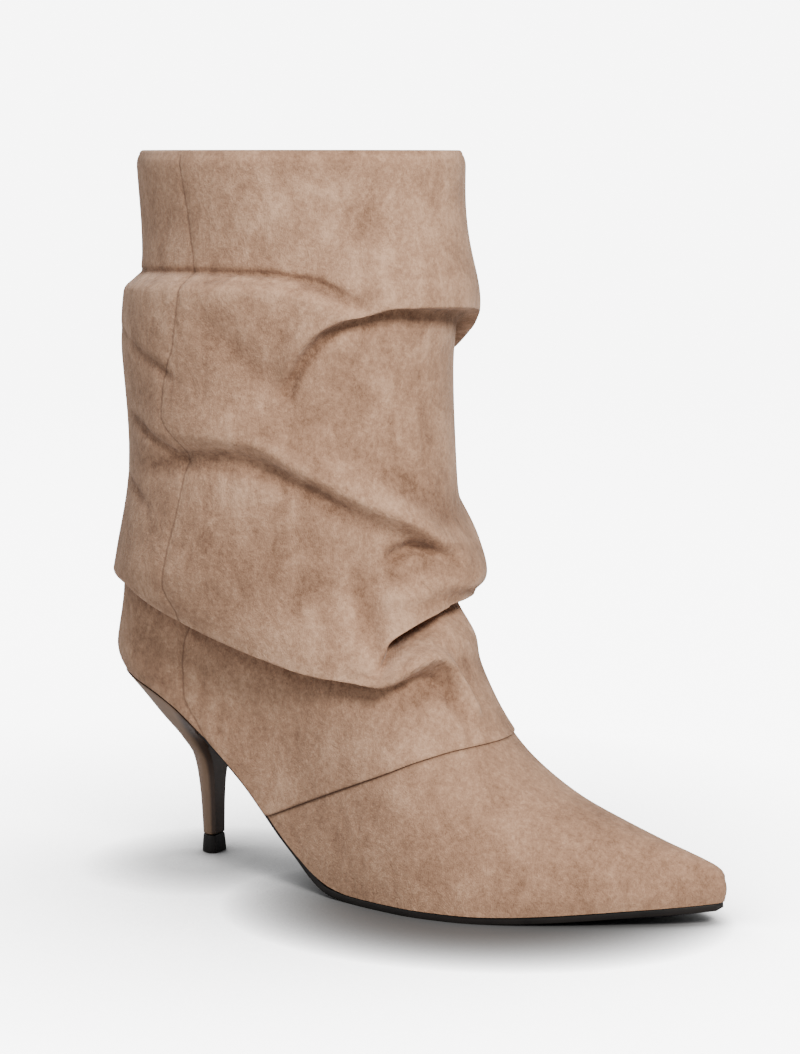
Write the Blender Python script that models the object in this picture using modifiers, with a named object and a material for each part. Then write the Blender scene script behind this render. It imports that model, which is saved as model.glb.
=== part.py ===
"""Slouch boot, the right shoe: a pull-on suede boot with a pointed toe and a slim heel.

Metres. +X points to the toe, +Y to the medial side, +Z up. The origin is on the floor, under the
middle of the heel tip.
"""
import math

import bpy
import numpy as np

MM = 0.001

# Sizes of the last
SHOE_LENGTH = 250 * MM
HEEL_SETBACK = 37 * MM
BALL_WIDTH = 80 * MM
HEEL_HEIGHT = 72 * MM
INSTEP_HEIGHT = 93 * MM
TOE_SPRING = 5.5 * MM

TOE_HALF_WIDTH = 11 * MM
ARCH_FULLNESS = 2.3

# Sizes of the shaft
COLLAR_HEIGHT = 270 * MM
SHAFT_DEPTH = 136 * MM
SHAFT_WIDTH = 96 * MM
FOLD_RELIEF = 6 * MM

# Thicknesses
UPPER_WALL = 2 * MM
PANEL_LAP = 1.2 * MM
SEAM_RAMP = 4 * MM
SOLE_THICKNESS = 2.5 * MM
INSOLE_THICKNESS = 1.5 * MM
TIP_HEIGHT = 7 * MM

# Heel block where it meets the tip
HEEL_STEM_DEPTH = 7 * MM
HEEL_STEM_WIDTH = 10 * MM
TIP_FLARE = 0.5 * MM

# Room between pieces that touch
GAP = 0.3 * MM
SOLE_INSET = 0.4 * MM
WAIST_INSET = 4.8 * MM
WAIST_END = 0.46
WAIST_FADE = 0.10
TOE_ROOM = 4
HEEL_ROOM = 5

# Mesh density
AROUND = 56
RINGS = 44
SAMPLES = 200
SOLE_STATIONS = 44
HEEL_STATIONS = 12
HEEL_HALF_POINTS = 9

HEEL_BACK = -HEEL_SETBACK
TOE_TIP = SHOE_LENGTH - HEEL_SETBACK
SEAM_HEIGHT = SOLE_THICKNESS + GAP
TINY = 1e-6
TURN = math.radians(0.5)
SHARP_ANGLE = math.radians(40)
SEAT_RISE = HEEL_HEIGHT - SEAM_HEIGHT

# Sole outline: along in shares of SHOE_LENGTH, lateral and medial in shares of BALL_WIDTH
OUTLINE = (
    # along, lateral, medial
    (0.00, 0.000, 0.000),
    (0.03, -0.205, 0.205),
    (0.08, -0.300, 0.300),
    (0.14, -0.340, 0.340),
    (0.22, -0.355, 0.340),
    (0.30, -0.370, 0.320),
    (0.38, -0.402, 0.308),
    (0.46, -0.460, 0.345),
    (0.54, -0.512, 0.412),
    (0.60, -0.532, 0.456),
    (0.66, -0.515, 0.462),
    (0.72, -0.460, 0.444),
    (0.78, -0.375, 0.402),
    (0.84, -0.275, 0.340),
    (0.90, -0.165, 0.268),
    (0.95, -0.070, 0.205),
    (0.98, 0.000, 0.152),
    (1.00, 0.075, 0.075),
)

# Lower edge of the upper: heel in shares of the seat's rise, toe in shares of TOE_SPRING
BOTTOM_LINE = (
    # along, heel, toe
    (0.000, 1.000, 0.00),
    (0.040, 0.985, 0.00),
    (0.095, 0.935, 0.00),
    (0.147, 0.850, 0.00),
    (0.187, 0.750, 0.00),
    (0.246, 0.585, 0.00),
    (0.282, 0.470, 0.00),
    (0.313, 0.355, 0.00),
    (0.349, 0.225, 0.00),
    (0.380, 0.135, 0.00),
    (0.413, 0.060, 0.00),
    (0.450, 0.015, 0.00),
    (0.490, 0.000, 0.00),
    (0.690, 0.000, 0.00),
    (0.750, 0.000, 0.09),
    (0.810, 0.000, 0.27),
    (0.870, 0.000, 0.50),
    (0.940, 0.000, 0.76),
    (1.000, 0.000, 1.00),
)

# Rings of the foot. back_x and front_x are shares of SHOE_LENGTH from the heel's back, back_z of the
# rise from seat to collar, front_z of the rise from toe seam to instep, width of SHAFT_WIDTH.
# foot says how far the ring follows the sole's outline, sag how far it follows the bottom line.
FOOT_RINGS = (
    # name, back_x, back_z, front_x, front_z, width, foot, sag
    ("seam", 0.014, 0.000, 1.000, 0.000, 0.56, 1.00, 1.00),
    ("toe_wall", 0.004, 0.018, 1.003, 0.052, 0.57, 1.00, 0.97),
    ("toe_edge", -0.001, 0.033, 0.996, 0.117, 0.58, 1.00, 0.93),
    ("toe_top", -0.003, 0.048, 0.962, 0.170, 0.58, 1.00, 0.90),
    ("toe_box", -0.002, 0.063, 0.905, 0.222, 0.59, 1.00, 0.85),
    ("vamp_low", 0.000, 0.078, 0.838, 0.288, 0.60, 0.98, 0.78),
    ("vamp_mid", 0.002, 0.093, 0.763, 0.375, 0.64, 0.95, 0.66),
    ("vamp_high", 0.004, 0.108, 0.708, 0.475, 0.68, 0.88, 0.52),
    ("vamp_top", 0.006, 0.123, 0.660, 0.600, 0.72, 0.78, 0.38),
    ("instep_low", 0.009, 0.144, 0.618, 0.780, 0.77, 0.60, 0.24),
    ("instep", 0.013, 0.169, 0.584, 1.000, 0.83, 0.40, 0.12),
)

TOE_EDGE_ROW = 2

# Rings of the shaft. back_x in shares of SHOE_LENGTH from the heel's back, back_z of the rise from
# seat to collar, depth of SHAFT_DEPTH, front_z of the rise from instep to collar, width of SHAFT_WIDTH
SHAFT_RINGS = (
    # name, back_x, back_z, depth, front_z, width, foot, sag
    ("ankle", 0.020, 0.199, 0.985, 0.096, 0.90, 0.20, 0.05),
    ("ankle_top", 0.032, 0.239, 0.968, 0.180, 0.97, 0.05, 0.00),
    ("shaft_low", 0.042, 0.340, 0.943, 0.292, 1.01, 0.00, 0.00),
    ("shaft_mid", 0.050, 0.592, 0.915, 0.545, 0.99, 0.00, 0.00),
    ("shaft_high", 0.066, 0.793, 0.915, 0.770, 0.95, 0.00, 0.00),
    ("collar", 0.056, 1.000, 0.945, 1.000, 0.96, 0.00, 0.00),
)

# Folds as lines round the boot. angle in degrees from the back over the lateral side, height in
# shares of COLLAR_HEIGHT, relief in shares of FOLD_RELIEF, up and down the fold's reach in shares
# of SHAFT_WIDTH, droop how far it hangs for each unit that it stands out
FOLDS = (
    # fold, angle, height, relief, up, down, droop
    ("back_ledge", -70, 0.790, 0.0, 0.012, 0.30, 0.0),
    ("back_ledge", -35, 0.812, 0.9, 0.012, 0.36, 0.0),
    ("back_ledge", 40, 0.822, 1.1, 0.012, 0.40, 0.0),
    ("back_ledge", 78, 0.832, 1.1, 0.012, 0.38, 0.0),
    ("back_ledge", 115, 0.827, 0.7, 0.012, 0.28, 0.0),
    ("back_ledge", 145, 0.824, 0.0, 0.012, 0.20, 0.0),
    ("front_roll", 111, 0.672, 0.0, 0.14, 0.05, 0.2),
    ("front_roll", 127, 0.764, 0.6, 0.18, 0.04, 0.4),
    ("front_roll", 137, 0.792, 0.9, 0.20, 0.04, 0.5),
    ("front_roll", 150, 0.804, 1.2, 0.20, 0.04, 0.5),
    ("front_roll", 170, 0.804, 1.3, 0.20, 0.04, 0.5),
    ("front_roll", 202, 0.794, 1.3, 0.22, 0.04, 0.5),
    ("front_roll", 235, 0.728, 1.3, 0.26, 0.05, 0.5),
    ("front_roll", 270, 0.655, 1.2, 0.30, 0.05, 0.5),
    ("front_roll", 300, 0.640, 0.9, 0.28, 0.06, 0.4),
    ("front_roll", 335, 0.660, 0.0, 0.24, 0.08, 0.2),
    ("sweep", 40, 0.590, 0.0, 0.12, 0.12, 0.0),
    ("sweep", 78, 0.630, 0.5, 0.12, 0.10, 0.0),
    ("sweep", 102, 0.640, 0.7, 0.13, 0.09, 0.0),
    ("sweep", 121, 0.610, 0.8, 0.13, 0.09, 0.0),
    ("sweep", 140, 0.565, 1.0, 0.10, 0.09, 0.0),
    ("sweep", 163, 0.515, 1.6, 0.09, 0.08, 0.0),
    ("sweep", 192, 0.488, 1.7, 0.10, 0.09, 0.0),
    ("sweep", 235, 0.515, 0.9, 0.10, 0.09, 0.0),
    ("sweep", 275, 0.530, 0.0, 0.12, 0.10, 0.0),
    ("low_lip", 0, 0.432, 0.8, 0.26, 0.055, 0.4),
    ("low_lip", 44, 0.418, 0.9, 0.26, 0.055, 0.5),
    ("low_lip", 66, 0.390, 1.1, 0.26, 0.055, 0.6),
    ("low_lip", 89, 0.359, 1.3, 0.28, 0.055, 0.6),
    ("low_lip", 114, 0.332, 1.4, 0.26, 0.055, 0.6),
    ("low_lip", 136, 0.322, 1.3, 0.22, 0.060, 0.5),
    ("low_lip", 152, 0.362, 1.1, 0.18, 0.060, 0.5),
    ("low_lip", 174, 0.410, 1.1, 0.16, 0.055, 0.5),
    ("low_lip", 205, 0.415, 1.2, 0.18, 0.055, 0.5),
    ("low_lip", 240, 0.398, 1.2, 0.24, 0.055, 0.5),
    ("low_lip", 280, 0.395, 1.1, 0.26, 0.055, 0.5),
    ("low_lip", 320, 0.415, 0.9, 0.26, 0.055, 0.4),
    ("low_lip", 360, 0.432, 0.8, 0.26, 0.055, 0.4),
    ("instep_roll", 126, 0.300, 0.0, 0.06, 0.06, 0.0),
    ("instep_roll", 150, 0.325, 0.7, 0.08, 0.07, 0.1),
    ("instep_roll", 172, 0.345, 0.9, 0.09, 0.07, 0.1),
    ("instep_roll", 205, 0.345, 0.8, 0.09, 0.07, 0.1),
    ("instep_roll", 245, 0.320, 0.0, 0.08, 0.08, 0.0),
)

# Heights that the rings follow round the shaft, in shares of COLLAR_HEIGHT
RING_LINES = (
    # angle, low_lip, sweep, roll, ledge
    (0, 0.432, 0.585, 0.770, 0.822),
    (44, 0.418, 0.590, 0.776, 0.826),
    (78, 0.372, 0.630, 0.780, 0.836),
    (100, 0.345, 0.640, 0.768, 0.833),
    (120, 0.328, 0.612, 0.745, 0.831),
    (136, 0.322, 0.573, 0.790, 0.838),
    (152, 0.362, 0.540, 0.804, 0.862),
    (174, 0.410, 0.512, 0.803, 0.862),
    (205, 0.415, 0.507, 0.790, 0.850),
    (240, 0.398, 0.516, 0.716, 0.826),
    (280, 0.395, 0.530, 0.650, 0.810),
    (320, 0.415, 0.560, 0.670, 0.815),
    (360, 0.432, 0.585, 0.770, 0.822),
)
# Rings from the seam up to each of those lines, and to the collar
RING_COUNTS = (16, 25, 34, 38, 43)

# Line where the shaft panel laps over the vamp, seen from the side
SEAM_LINE = (
    # along, height in shares of INSTEP_HEIGHT
    (0.310, 0.255),
    (0.354, 0.305),
    (0.395, 0.354),
    (0.489, 0.464),
    (0.551, 0.535),
    (0.601, 0.595),
    (0.635, 0.625),
    (0.655, 0.633),
    (0.700, 0.640),
)

# Level sections of the heel block, from the tip to the seat. back and front are shares of the way
# from the stem to the seat's own ends, width of the way from the stem's width to the seat's
HEEL_SECTIONS = (
    # rise, back, front, width, fullness
    (0.00, 0.000, 0.00, 0.000, 2.0),
    (0.25, 0.030, 0.02, 0.020, 2.0),
    (0.42, 0.065, 0.05, 0.065, 2.1),
    (0.56, 0.105, 0.12, 0.190, 2.3),
    (0.72, 0.205, 0.28, 0.560, 2.7),
    (0.86, 0.550, 0.55, 0.870, 3.3),
    (1.00, 1.000, 1.00, 1.000, 4.0),
)
SEAT_INSET = 4.5 * MM
SEAT_SIDE_INSET = 1.2 * MM
BREAST_ALONG = 0.192

# Colours: red, green, blue, roughness
FINISHES = {
    "suede": (0.42, 0.29, 0.20, 0.95),
    "sole_rubber": (0.02, 0.018, 0.017, 0.5),
    "heel_lacquer": (0.30, 0.22, 0.17, 0.25),
    "tip_rubber": (0.012, 0.012, 0.012, 0.5),
    "insole_leather": (0.50, 0.38, 0.28, 0.7),
}


def smooth_rows(keys, values, at):
    """Cubic curve through rows of values, with slopes that don't overshoot."""
    keys = np.asarray(keys, dtype=float)
    values = np.asarray(values, dtype=float)
    steps = np.diff(keys)
    rises = np.diff(values) / steps
    slopes = np.zeros_like(values)
    same_way = rises[1:] * rises[:-1] > 0
    weights = 2 * steps[1:] + steps[:-1], steps[1:] + 2 * steps[:-1]
    safe = np.where(same_way, rises[:-1], 1.0), np.where(same_way, rises[1:], 1.0)
    blend = (weights[0] + weights[1]) / (weights[0] / safe[0] + weights[1] / safe[1])
    slopes[1:-1] = np.where(same_way, blend, 0.0)
    slopes[0] = rises[0]
    slopes[-1] = rises[-1]
    at = np.clip(at, keys[0], keys[-1])
    cell = np.clip(np.searchsorted(keys, at, side="right") - 1, 0, len(steps) - 1)
    part = (at - keys[cell]) / steps[cell]
    left = (1 + 2 * part) * (1 - part) ** 2 * values[cell]
    left = left + part * (1 - part) ** 2 * steps[cell] * slopes[cell]
    right = part ** 2 * (3 - 2 * part) * values[cell + 1]
    right = right - part ** 2 * (1 - part) * steps[cell] * slopes[cell + 1]
    return left + right


def column(rows, place):
    return np.array([row[place] for row in rows], dtype=float)


def soft_step(value):
    value = np.clip(value, 0.0, 1.0)
    return value * value * (3 - 2 * value)


def outline_sides(along):
    """Lateral and medial edge of the sole at shares of the shoe's length."""
    turn = np.arccos(1 - 2 * np.clip(along, 0.0, 1.0))
    keys = np.arccos(1 - 2 * column(OUTLINE, 0))
    lateral = smooth_rows(keys, column(OUTLINE, 1), turn) * BALL_WIDTH
    medial = smooth_rows(keys, column(OUTLINE, 2), turn) * BALL_WIDTH
    return lateral, medial


def bottom_height(along):
    """Height of the upper's lower edge at shares of the shoe's length."""
    heel = smooth_rows(column(BOTTOM_LINE, 0), column(BOTTOM_LINE, 1), along)
    toe = smooth_rows(column(BOTTOM_LINE, 0), column(BOTTOM_LINE, 2), along)
    return SEAM_HEIGHT + SEAT_RISE * heel + TOE_SPRING * toe


def along_of(x):
    return (x - HEEL_BACK) / SHOE_LENGTH


def ring_rows():
    """Back and front point, half width, foot and sag of each row of the two ring tables."""
    seat_to_collar = COLLAR_HEIGHT - HEEL_HEIGHT
    toe_seam = SEAM_HEIGHT + TOE_SPRING
    rows = []
    for _, back_x, back_z, front_x, front_z, width, foot, sag in FOOT_RINGS:
        back = HEEL_BACK + back_x * SHOE_LENGTH
        front = HEEL_BACK + front_x * SHOE_LENGTH
        low = HEEL_HEIGHT + back_z * seat_to_collar
        high = toe_seam + front_z * (INSTEP_HEIGHT - toe_seam)
        rows.append((back, low, front, high, width * SHAFT_WIDTH / 2, foot, sag))
    for _, back_x, back_z, depth, front_z, width, foot, sag in SHAFT_RINGS:
        back = HEEL_BACK + back_x * SHOE_LENGTH
        front = back + depth * SHAFT_DEPTH
        low = HEEL_HEIGHT + back_z * seat_to_collar
        high = INSTEP_HEIGHT + front_z * (COLLAR_HEIGHT - INSTEP_HEIGHT)
        rows.append((back, low, front, high, width * SHAFT_WIDTH / 2, foot, sag))
    return np.array(rows)


def ring_keys(rows):
    """Mean way from row to row at the back and the front, as shares from the seam to the collar."""
    back = np.hypot(np.diff(rows[:, 0]), np.diff(rows[:, 1]))
    front = np.hypot(np.diff(rows[:, 2]), np.diff(rows[:, 3]))
    keys = np.concatenate(([0.0], np.cumsum(back + front)))
    return keys / keys[-1]


def ridge_height(rows, keys, x):
    """Height of the vamp's ridge at x, carried on past the instep by its last slope."""
    rings = np.linspace(keys[TOE_EDGE_ROW], keys[len(FOOT_RINGS) - 1], SAMPLES)[::-1]
    xs = smooth_rows(keys, rows[:, 2], rings)
    zs = smooth_rows(keys, rows[:, 3], rings)
    slope = (zs[0] - zs[1]) / (xs[1] - xs[0])
    return np.where(x < xs[0], zs[0] + slope * (xs[0] - x), np.interp(x, xs, zs))


def base_point(rows, keys, ring, angle):
    """Point of the unfolded upper: ring from 0 at the seam to 1 at the collar, angle in radians."""
    back, low, front, high, half, foot, sag = [
        smooth_rows(keys, rows[:, place], ring) for place in range(rows.shape[1])]
    share = (1 - np.cos(angle)) / 2
    x = back + (front - back) * share
    overshoot = np.maximum(front - TOE_TIP, 0.0)
    flat_x = x - (back - HEEL_BACK) * (1 - share) - overshoot * share
    along = along_of(flat_x)
    bottom = bottom_height(along)
    heel_end = bottom_height(np.zeros_like(along))
    front_end = bottom_height(along_of(front - overshoot))
    chord = heel_end + (front_end - heel_end) * share
    z = low + (high - low) * share + sag * (bottom - chord)
    top = ridge_height(rows, keys, flat_x)
    rise = np.clip((z - bottom) / np.maximum(top - bottom, MM), 0.0, 1.0)
    arch = np.sqrt(np.clip(1 - rise ** ARCH_FULLNESS, TINY, 1.0))
    lateral, medial = outline_sides(along)
    side = np.sin(angle)
    toe_line = np.where(share > 0.5, (lateral + medial) / 2, 0.0)
    edge = np.where(side >= 0, lateral, medial)
    reach = np.maximum(np.abs(edge - toe_line), TINY)
    blunt = np.maximum(reach, TOE_HALF_WIDTH)
    nose = 1 / np.sqrt(1 / reach ** 2 + (1 / arch ** 2 - 1) / blunt ** 2)
    foot_y = toe_line + np.sign(edge - toe_line) * nose
    leg_y = -half * side
    y = foot * foot_y + (1 - foot) * leg_y
    return np.stack([x, y, z], axis=-1)


def fold_shift(angle, height):
    """How far the folds stand out, and how far they hang down, at an angle and a height."""
    out = np.zeros_like(height)
    down = np.zeros_like(height)
    degrees = np.degrees(angle)
    for name in dict.fromkeys(row[0] for row in FOLDS):
        rows = [row for row in FOLDS if row[0] == name]
        keys = column(rows, 1)
        for turn in (-360.0, 0.0, 360.0):
            at = degrees + turn
            inside = (at >= keys[0]) & (at < keys[-1])
            line = smooth_rows(keys, column(rows, 2), at) * COLLAR_HEIGHT
            relief = smooth_rows(keys, column(rows, 3), at) * FOLD_RELIEF
            up = smooth_rows(keys, column(rows, 4), at) * SHAFT_WIDTH
            below = smooth_rows(keys, column(rows, 5), at) * SHAFT_WIDTH
            droop = smooth_rows(keys, column(rows, 6), at)
            away = height - line
            reach = np.where(away > 0, up, below)
            stand = np.where(inside, relief * np.exp(-(away / reach) ** 2), 0.0)
            out += stand
            down += stand * droop
    return out, down


def seam_height(x):
    rows = SEAM_LINE
    return smooth_rows(column(rows, 0), column(rows, 1), along_of(x)) * INSTEP_HEIGHT


def upper_points(ring, angle):
    """Outer surface of the upper on a grid of rings and angles."""
    rows = ring_rows()
    keys = ring_keys(rows)
    base = base_point(rows, keys, ring, angle)
    ahead = base_point(rows, keys, ring, angle + TURN) - base_point(rows, keys, ring, angle - TURN)
    outward = np.stack([-ahead[..., 1], ahead[..., 0], np.zeros_like(ahead[..., 0])], axis=-1)
    outward /= np.maximum(np.linalg.norm(outward, axis=-1, keepdims=True), TINY * MM)
    centre = base.mean(axis=1, keepdims=True)
    facing = np.sum(outward * (base - centre), axis=-1, keepdims=True)
    outward = np.where(facing < 0, -outward, outward)
    out, down = fold_shift(angle, base[..., 2])
    panel = soft_step((base[..., 2] - seam_height(base[..., 0])) / SEAM_RAMP + 0.5)
    ahead_of_seam = base[..., 0] > TOE_TIP - (1 - SEAM_LINE[-1][0]) * SHOE_LENGTH
    lap = np.where(ahead_of_seam, 0.0, panel) * PANEL_LAP
    points = base + outward * (out + lap)[..., None]
    points[..., 2] -= down
    return points


def follow_folds(ring, angle):
    """Slide the rings of the shaft up or down so that they run along the main folds."""
    rows = ring_rows()
    keys = ring_keys(rows)
    samples = np.linspace(0.0, 1.0, SAMPLES)
    shares = np.array((0,) + RING_COUNTS) / RING_COUNTS[-1]
    turns = column(RING_LINES, 0)
    slid = np.empty_like(ring)
    for place in range(ring.shape[1]):
        turn = angle[0, place]
        height = base_point(rows, keys, samples, np.full(SAMPLES, turn))[:, 2]
        at = math.degrees(turn)
        stops = [0.0]
        for line in range(1, len(RING_LINES[0])):
            wanted = float(smooth_rows(turns, column(RING_LINES, line), at)) * COLLAR_HEIGHT
            stops.append(float(np.interp(wanted, height, samples)))
        stops.append(1.0)
        slid[:, place] = np.interp(ring[:, place], shares, stops)
    return slid


def collection_named(name):
    collection = bpy.data.collections.new(name)
    bpy.context.scene.collection.children.link(collection)
    return collection


def finish_of(name):
    red, green, blue, roughness = FINISHES[name]
    material = bpy.data.materials.new(name)
    material.use_nodes = True
    shader = material.node_tree.nodes["Principled BSDF"]
    shader.inputs["Base Color"].default_value = (red, green, blue, 1.0)
    shader.inputs["Roughness"].default_value = roughness
    shader.inputs["Metallic"].default_value = 0.0
    material.diffuse_color = (red, green, blue, 1.0)
    return material


def add_mesh(name, points, faces, finish, collection):
    mesh = bpy.data.meshes.new(name)
    mesh.from_pydata([tuple(point) for point in points], [], faces)
    mesh.update()
    mesh.shade_smooth()
    mesh.set_sharp_from_angle(angle=SHARP_ANGLE)
    mesh.materials.append(finish_of(finish))
    piece = bpy.data.objects.new(name, mesh)
    collection.objects.link(piece)
    return piece


def loft_faces(rings, around, low_cap=False, high_cap=False):
    """Faces between rings of points that run anticlockwise seen from above, low ring first."""
    faces = []
    for ring in range(rings - 1):
        for step in range(around):
            following = (step + 1) % around
            low = ring * around
            high = low + around
            faces.append((low + step, low + following, high + following, high + step))
    if low_cap:
        faces.append(tuple(reversed(range(around))))
    if high_cap:
        faces.append(tuple(range((rings - 1) * around, rings * around)))
    return faces


def build_upper(collection):
    """The suede upper: one open surface round the foot and leg, given its wall inwards."""
    angle = np.arange(AROUND) / AROUND * 2 * math.pi
    ring = np.linspace(0.0, 1.0, RINGS)
    grid_ring, grid_angle = np.meshgrid(ring, angle, indexing="ij")
    grid_ring = follow_folds(grid_ring, grid_angle)
    points = upper_points(grid_ring, grid_angle)
    piece = add_mesh("upper", points.reshape(-1, 3), loft_faces(RINGS, AROUND), "suede", collection)
    wall = piece.modifiers.new("wall", "SOLIDIFY")
    wall.thickness = UPPER_WALL
    wall.offset = -1.0
    wall.use_even_offset = False
    return piece


def sheet_solid(name, stations, top, thickness, inset, finish, collection):
    """A bent sheet with the sole's outline: stations along the foot, top is its height there."""
    points = []
    for along, height, edge in zip(stations, top, inset):
        lateral, medial = outline_sides(np.array([along]))
        x = HEEL_BACK + along * SHOE_LENGTH
        left = lateral[0] + edge
        right = medial[0] - edge
        for level in (height - thickness, height):
            points.append((x, left, level))
            points.append((x, right, level))
    faces = []
    last = len(stations) - 1
    for step in range(last):
        low = 4 * step
        high = low + 4
        faces.append((low, low + 1, high + 1, high))
        faces.append((low + 2, high + 2, high + 3, low + 3))
        faces.append((low, high, high + 2, low + 2))
        faces.append((low + 1, low + 3, high + 3, high + 1))
    faces.append((0, 2, 3, 1))
    end = 4 * last
    faces.append((end, end + 1, end + 3, end + 2))
    return add_mesh(name, points, faces, finish, collection)


def spaced(first, last, count):
    """Shares along the foot, closer together towards both rounded ends."""
    low = math.acos(1 - 2 * first)
    high = math.acos(1 - 2 * last)
    turn = np.linspace(low, high, count)
    return (1 - np.cos(turn)) / 2


def build_outsole(collection):
    first = BREAST_ALONG + GAP / SHOE_LENGTH
    last = 1 - TOE_ROOM * SOLE_INSET / SHOE_LENGTH
    stations = spaced(first, last, SOLE_STATIONS)
    top = bottom_height(stations) - GAP
    waist = soft_step((WAIST_END - stations) / WAIST_FADE)
    inset = SOLE_INSET + (WAIST_INSET - SOLE_INSET) * waist
    return sheet_solid("outsole", stations, top, SOLE_THICKNESS, inset, "sole_rubber", collection)


def build_insole(collection):
    edge = UPPER_WALL + PANEL_LAP + GAP
    first = HEEL_ROOM * edge / SHOE_LENGTH
    last = 1 - TOE_ROOM * edge / SHOE_LENGTH
    stations = spaced(first, last, SOLE_STATIONS)
    top = bottom_height(stations) + INSOLE_THICKNESS
    inset = np.full(len(stations), edge)
    return sheet_solid("insole", stations, top, INSOLE_THICKNESS, inset, "insole_leather", collection)


def heel_outline(back, front, half, fullness):
    """D section: round at the back, a flat breast at the front; anticlockwise from above."""
    side = []
    for step in range(1, HEEL_HALF_POINTS + 1):
        way = (1 - math.cos(step / HEEL_HALF_POINTS * math.pi / 2))
        side.append((back + (front - back) * way, half * (1 - (1 - way) ** fullness) ** 0.5))
    left = [(x, -y) for x, y in side]
    return [(back, 0.0)] + left + side[::-1]


def build_heel(collection):
    """The heel block: D sections from the slim stem up to the seat, which follows the bottom line."""
    rise, back_share, front_share, width_share, fullness = [
        column(HEEL_SECTIONS, place) for place in range(5)]
    seat_back = HEEL_BACK + SEAT_INSET
    seat_front = HEEL_BACK + BREAST_ALONG * SHOE_LENGTH
    seat_sides = outline_sides(np.array([BREAST_ALONG]))
    seat_half = min(-seat_sides[0][0], seat_sides[1][0]) - SEAT_SIDE_INSET
    stem_back = -HEEL_STEM_DEPTH / 2
    stem_front = HEEL_STEM_DEPTH / 2
    levels = np.linspace(0.0, 1.0, HEEL_STATIONS)
    points = []
    base = TIP_HEIGHT + GAP
    for level in levels:
        back = stem_back + (seat_back - stem_back) * float(smooth_rows(rise, back_share, level))
        front = stem_front + (seat_front - stem_front) * float(smooth_rows(rise, front_share, level))
        width = float(smooth_rows(rise, width_share, level))
        half = HEEL_STEM_WIDTH / 2 + (seat_half - HEEL_STEM_WIDTH / 2) * width
        full = float(smooth_rows(rise, fullness, level))
        for x, y in heel_outline(back, front, half, full):
            seat = float(bottom_height(np.array([along_of(x)]))[0]) - GAP
            points.append((x, y, base + (seat - base) * level))
    around = 2 * HEEL_HALF_POINTS + 1
    faces = loft_faces(len(levels), around)
    faces.append(tuple(reversed(range(around))))
    top = (len(levels) - 1) * around
    faces.append((top, top + 1, top + around - 1))
    for step in range(1, HEEL_HALF_POINTS):
        low = top + step
        high = top + around - step
        faces.append((low, low + 1, high - 1, high))
    return add_mesh("heel", points, faces, "heel_lacquer", collection)


def build_heel_tip(collection):
    """The black top piece: the stem's D section, slightly flared down to the floor."""
    points = []
    for level, flare in ((0.0, TIP_FLARE), (TIP_HEIGHT, 0.0)):
        half = HEEL_STEM_WIDTH / 2 + flare
        reach = HEEL_STEM_DEPTH / 2 + flare
        for x, y in heel_outline(-reach, reach, half, HEEL_SECTIONS[0][-1]):
            points.append((x, y, level))
    around = 2 * HEEL_HALF_POINTS + 1
    faces = loft_faces(2, around, low_cap=True, high_cap=True)
    return add_mesh("heel_tip", points, faces, "tip_rubber", collection)


def main():
    for old in list(bpy.data.objects):
        bpy.data.objects.remove(old, do_unlink=True)
    boot = collection_named("slouch_boot")
    build_upper(boot)
    build_outsole(boot)
    build_insole(boot)
    build_heel(boot)
    build_heel_tip(boot)


if __name__ == "__main__":
    main()
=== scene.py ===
"""Slouch boot: fine form, leathers, studio floor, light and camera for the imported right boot."""
import math

import bpy
import numpy as np
from bpy.props import FloatProperty, FloatVectorProperty, PointerProperty
from bpy.types import Operator, Panel, PropertyGroup
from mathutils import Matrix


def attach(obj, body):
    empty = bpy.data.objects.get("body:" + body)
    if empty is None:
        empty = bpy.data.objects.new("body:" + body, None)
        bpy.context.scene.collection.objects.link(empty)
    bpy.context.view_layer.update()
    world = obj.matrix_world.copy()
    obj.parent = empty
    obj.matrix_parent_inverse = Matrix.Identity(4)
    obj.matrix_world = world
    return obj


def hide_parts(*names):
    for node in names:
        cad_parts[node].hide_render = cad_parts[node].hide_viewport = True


bl_info = {
    "name": "Slouch Boot",
    "version": (1, 0, 0),
    "blender": (4, 5, 0),
    "location": "3D View > Sidebar > Boot",
    "description": "Suede slouch boot with a slim heel, in a plain studio",
    "category": "Object",
}

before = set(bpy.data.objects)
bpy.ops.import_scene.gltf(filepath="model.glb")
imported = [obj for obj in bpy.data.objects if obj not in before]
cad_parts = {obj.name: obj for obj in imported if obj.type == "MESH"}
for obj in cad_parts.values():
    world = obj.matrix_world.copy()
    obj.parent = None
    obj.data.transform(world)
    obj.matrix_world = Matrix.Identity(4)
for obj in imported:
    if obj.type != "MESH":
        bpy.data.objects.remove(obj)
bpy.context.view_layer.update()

MM = 0.001
# Keeps roots and divisions clear of nought
TINY = 1e-6
# Step for slopes round the boot
TURN = math.radians(0.5)
# Points along a line that is searched
SAMPLES = 240
# Ring up to which the panel's edge is looked for
SEAM_SEARCH = 0.6
# Power of the foot's cross section, where 2 is an ellipse
ARCH_FULLNESS = 2.3
# Heel breast at the seat, in shares of the shoe's length
BREAST_ALONG = 0.192
# Rings per share of the collar's height, near the collar
RINGS_PER_RISE = 1.18
# Distance in mm that stands for no strip seam near
NO_STRIP = 20.0
# Edges sharper than this are rounded
BEVEL_ANGLE = math.radians(50)

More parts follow.
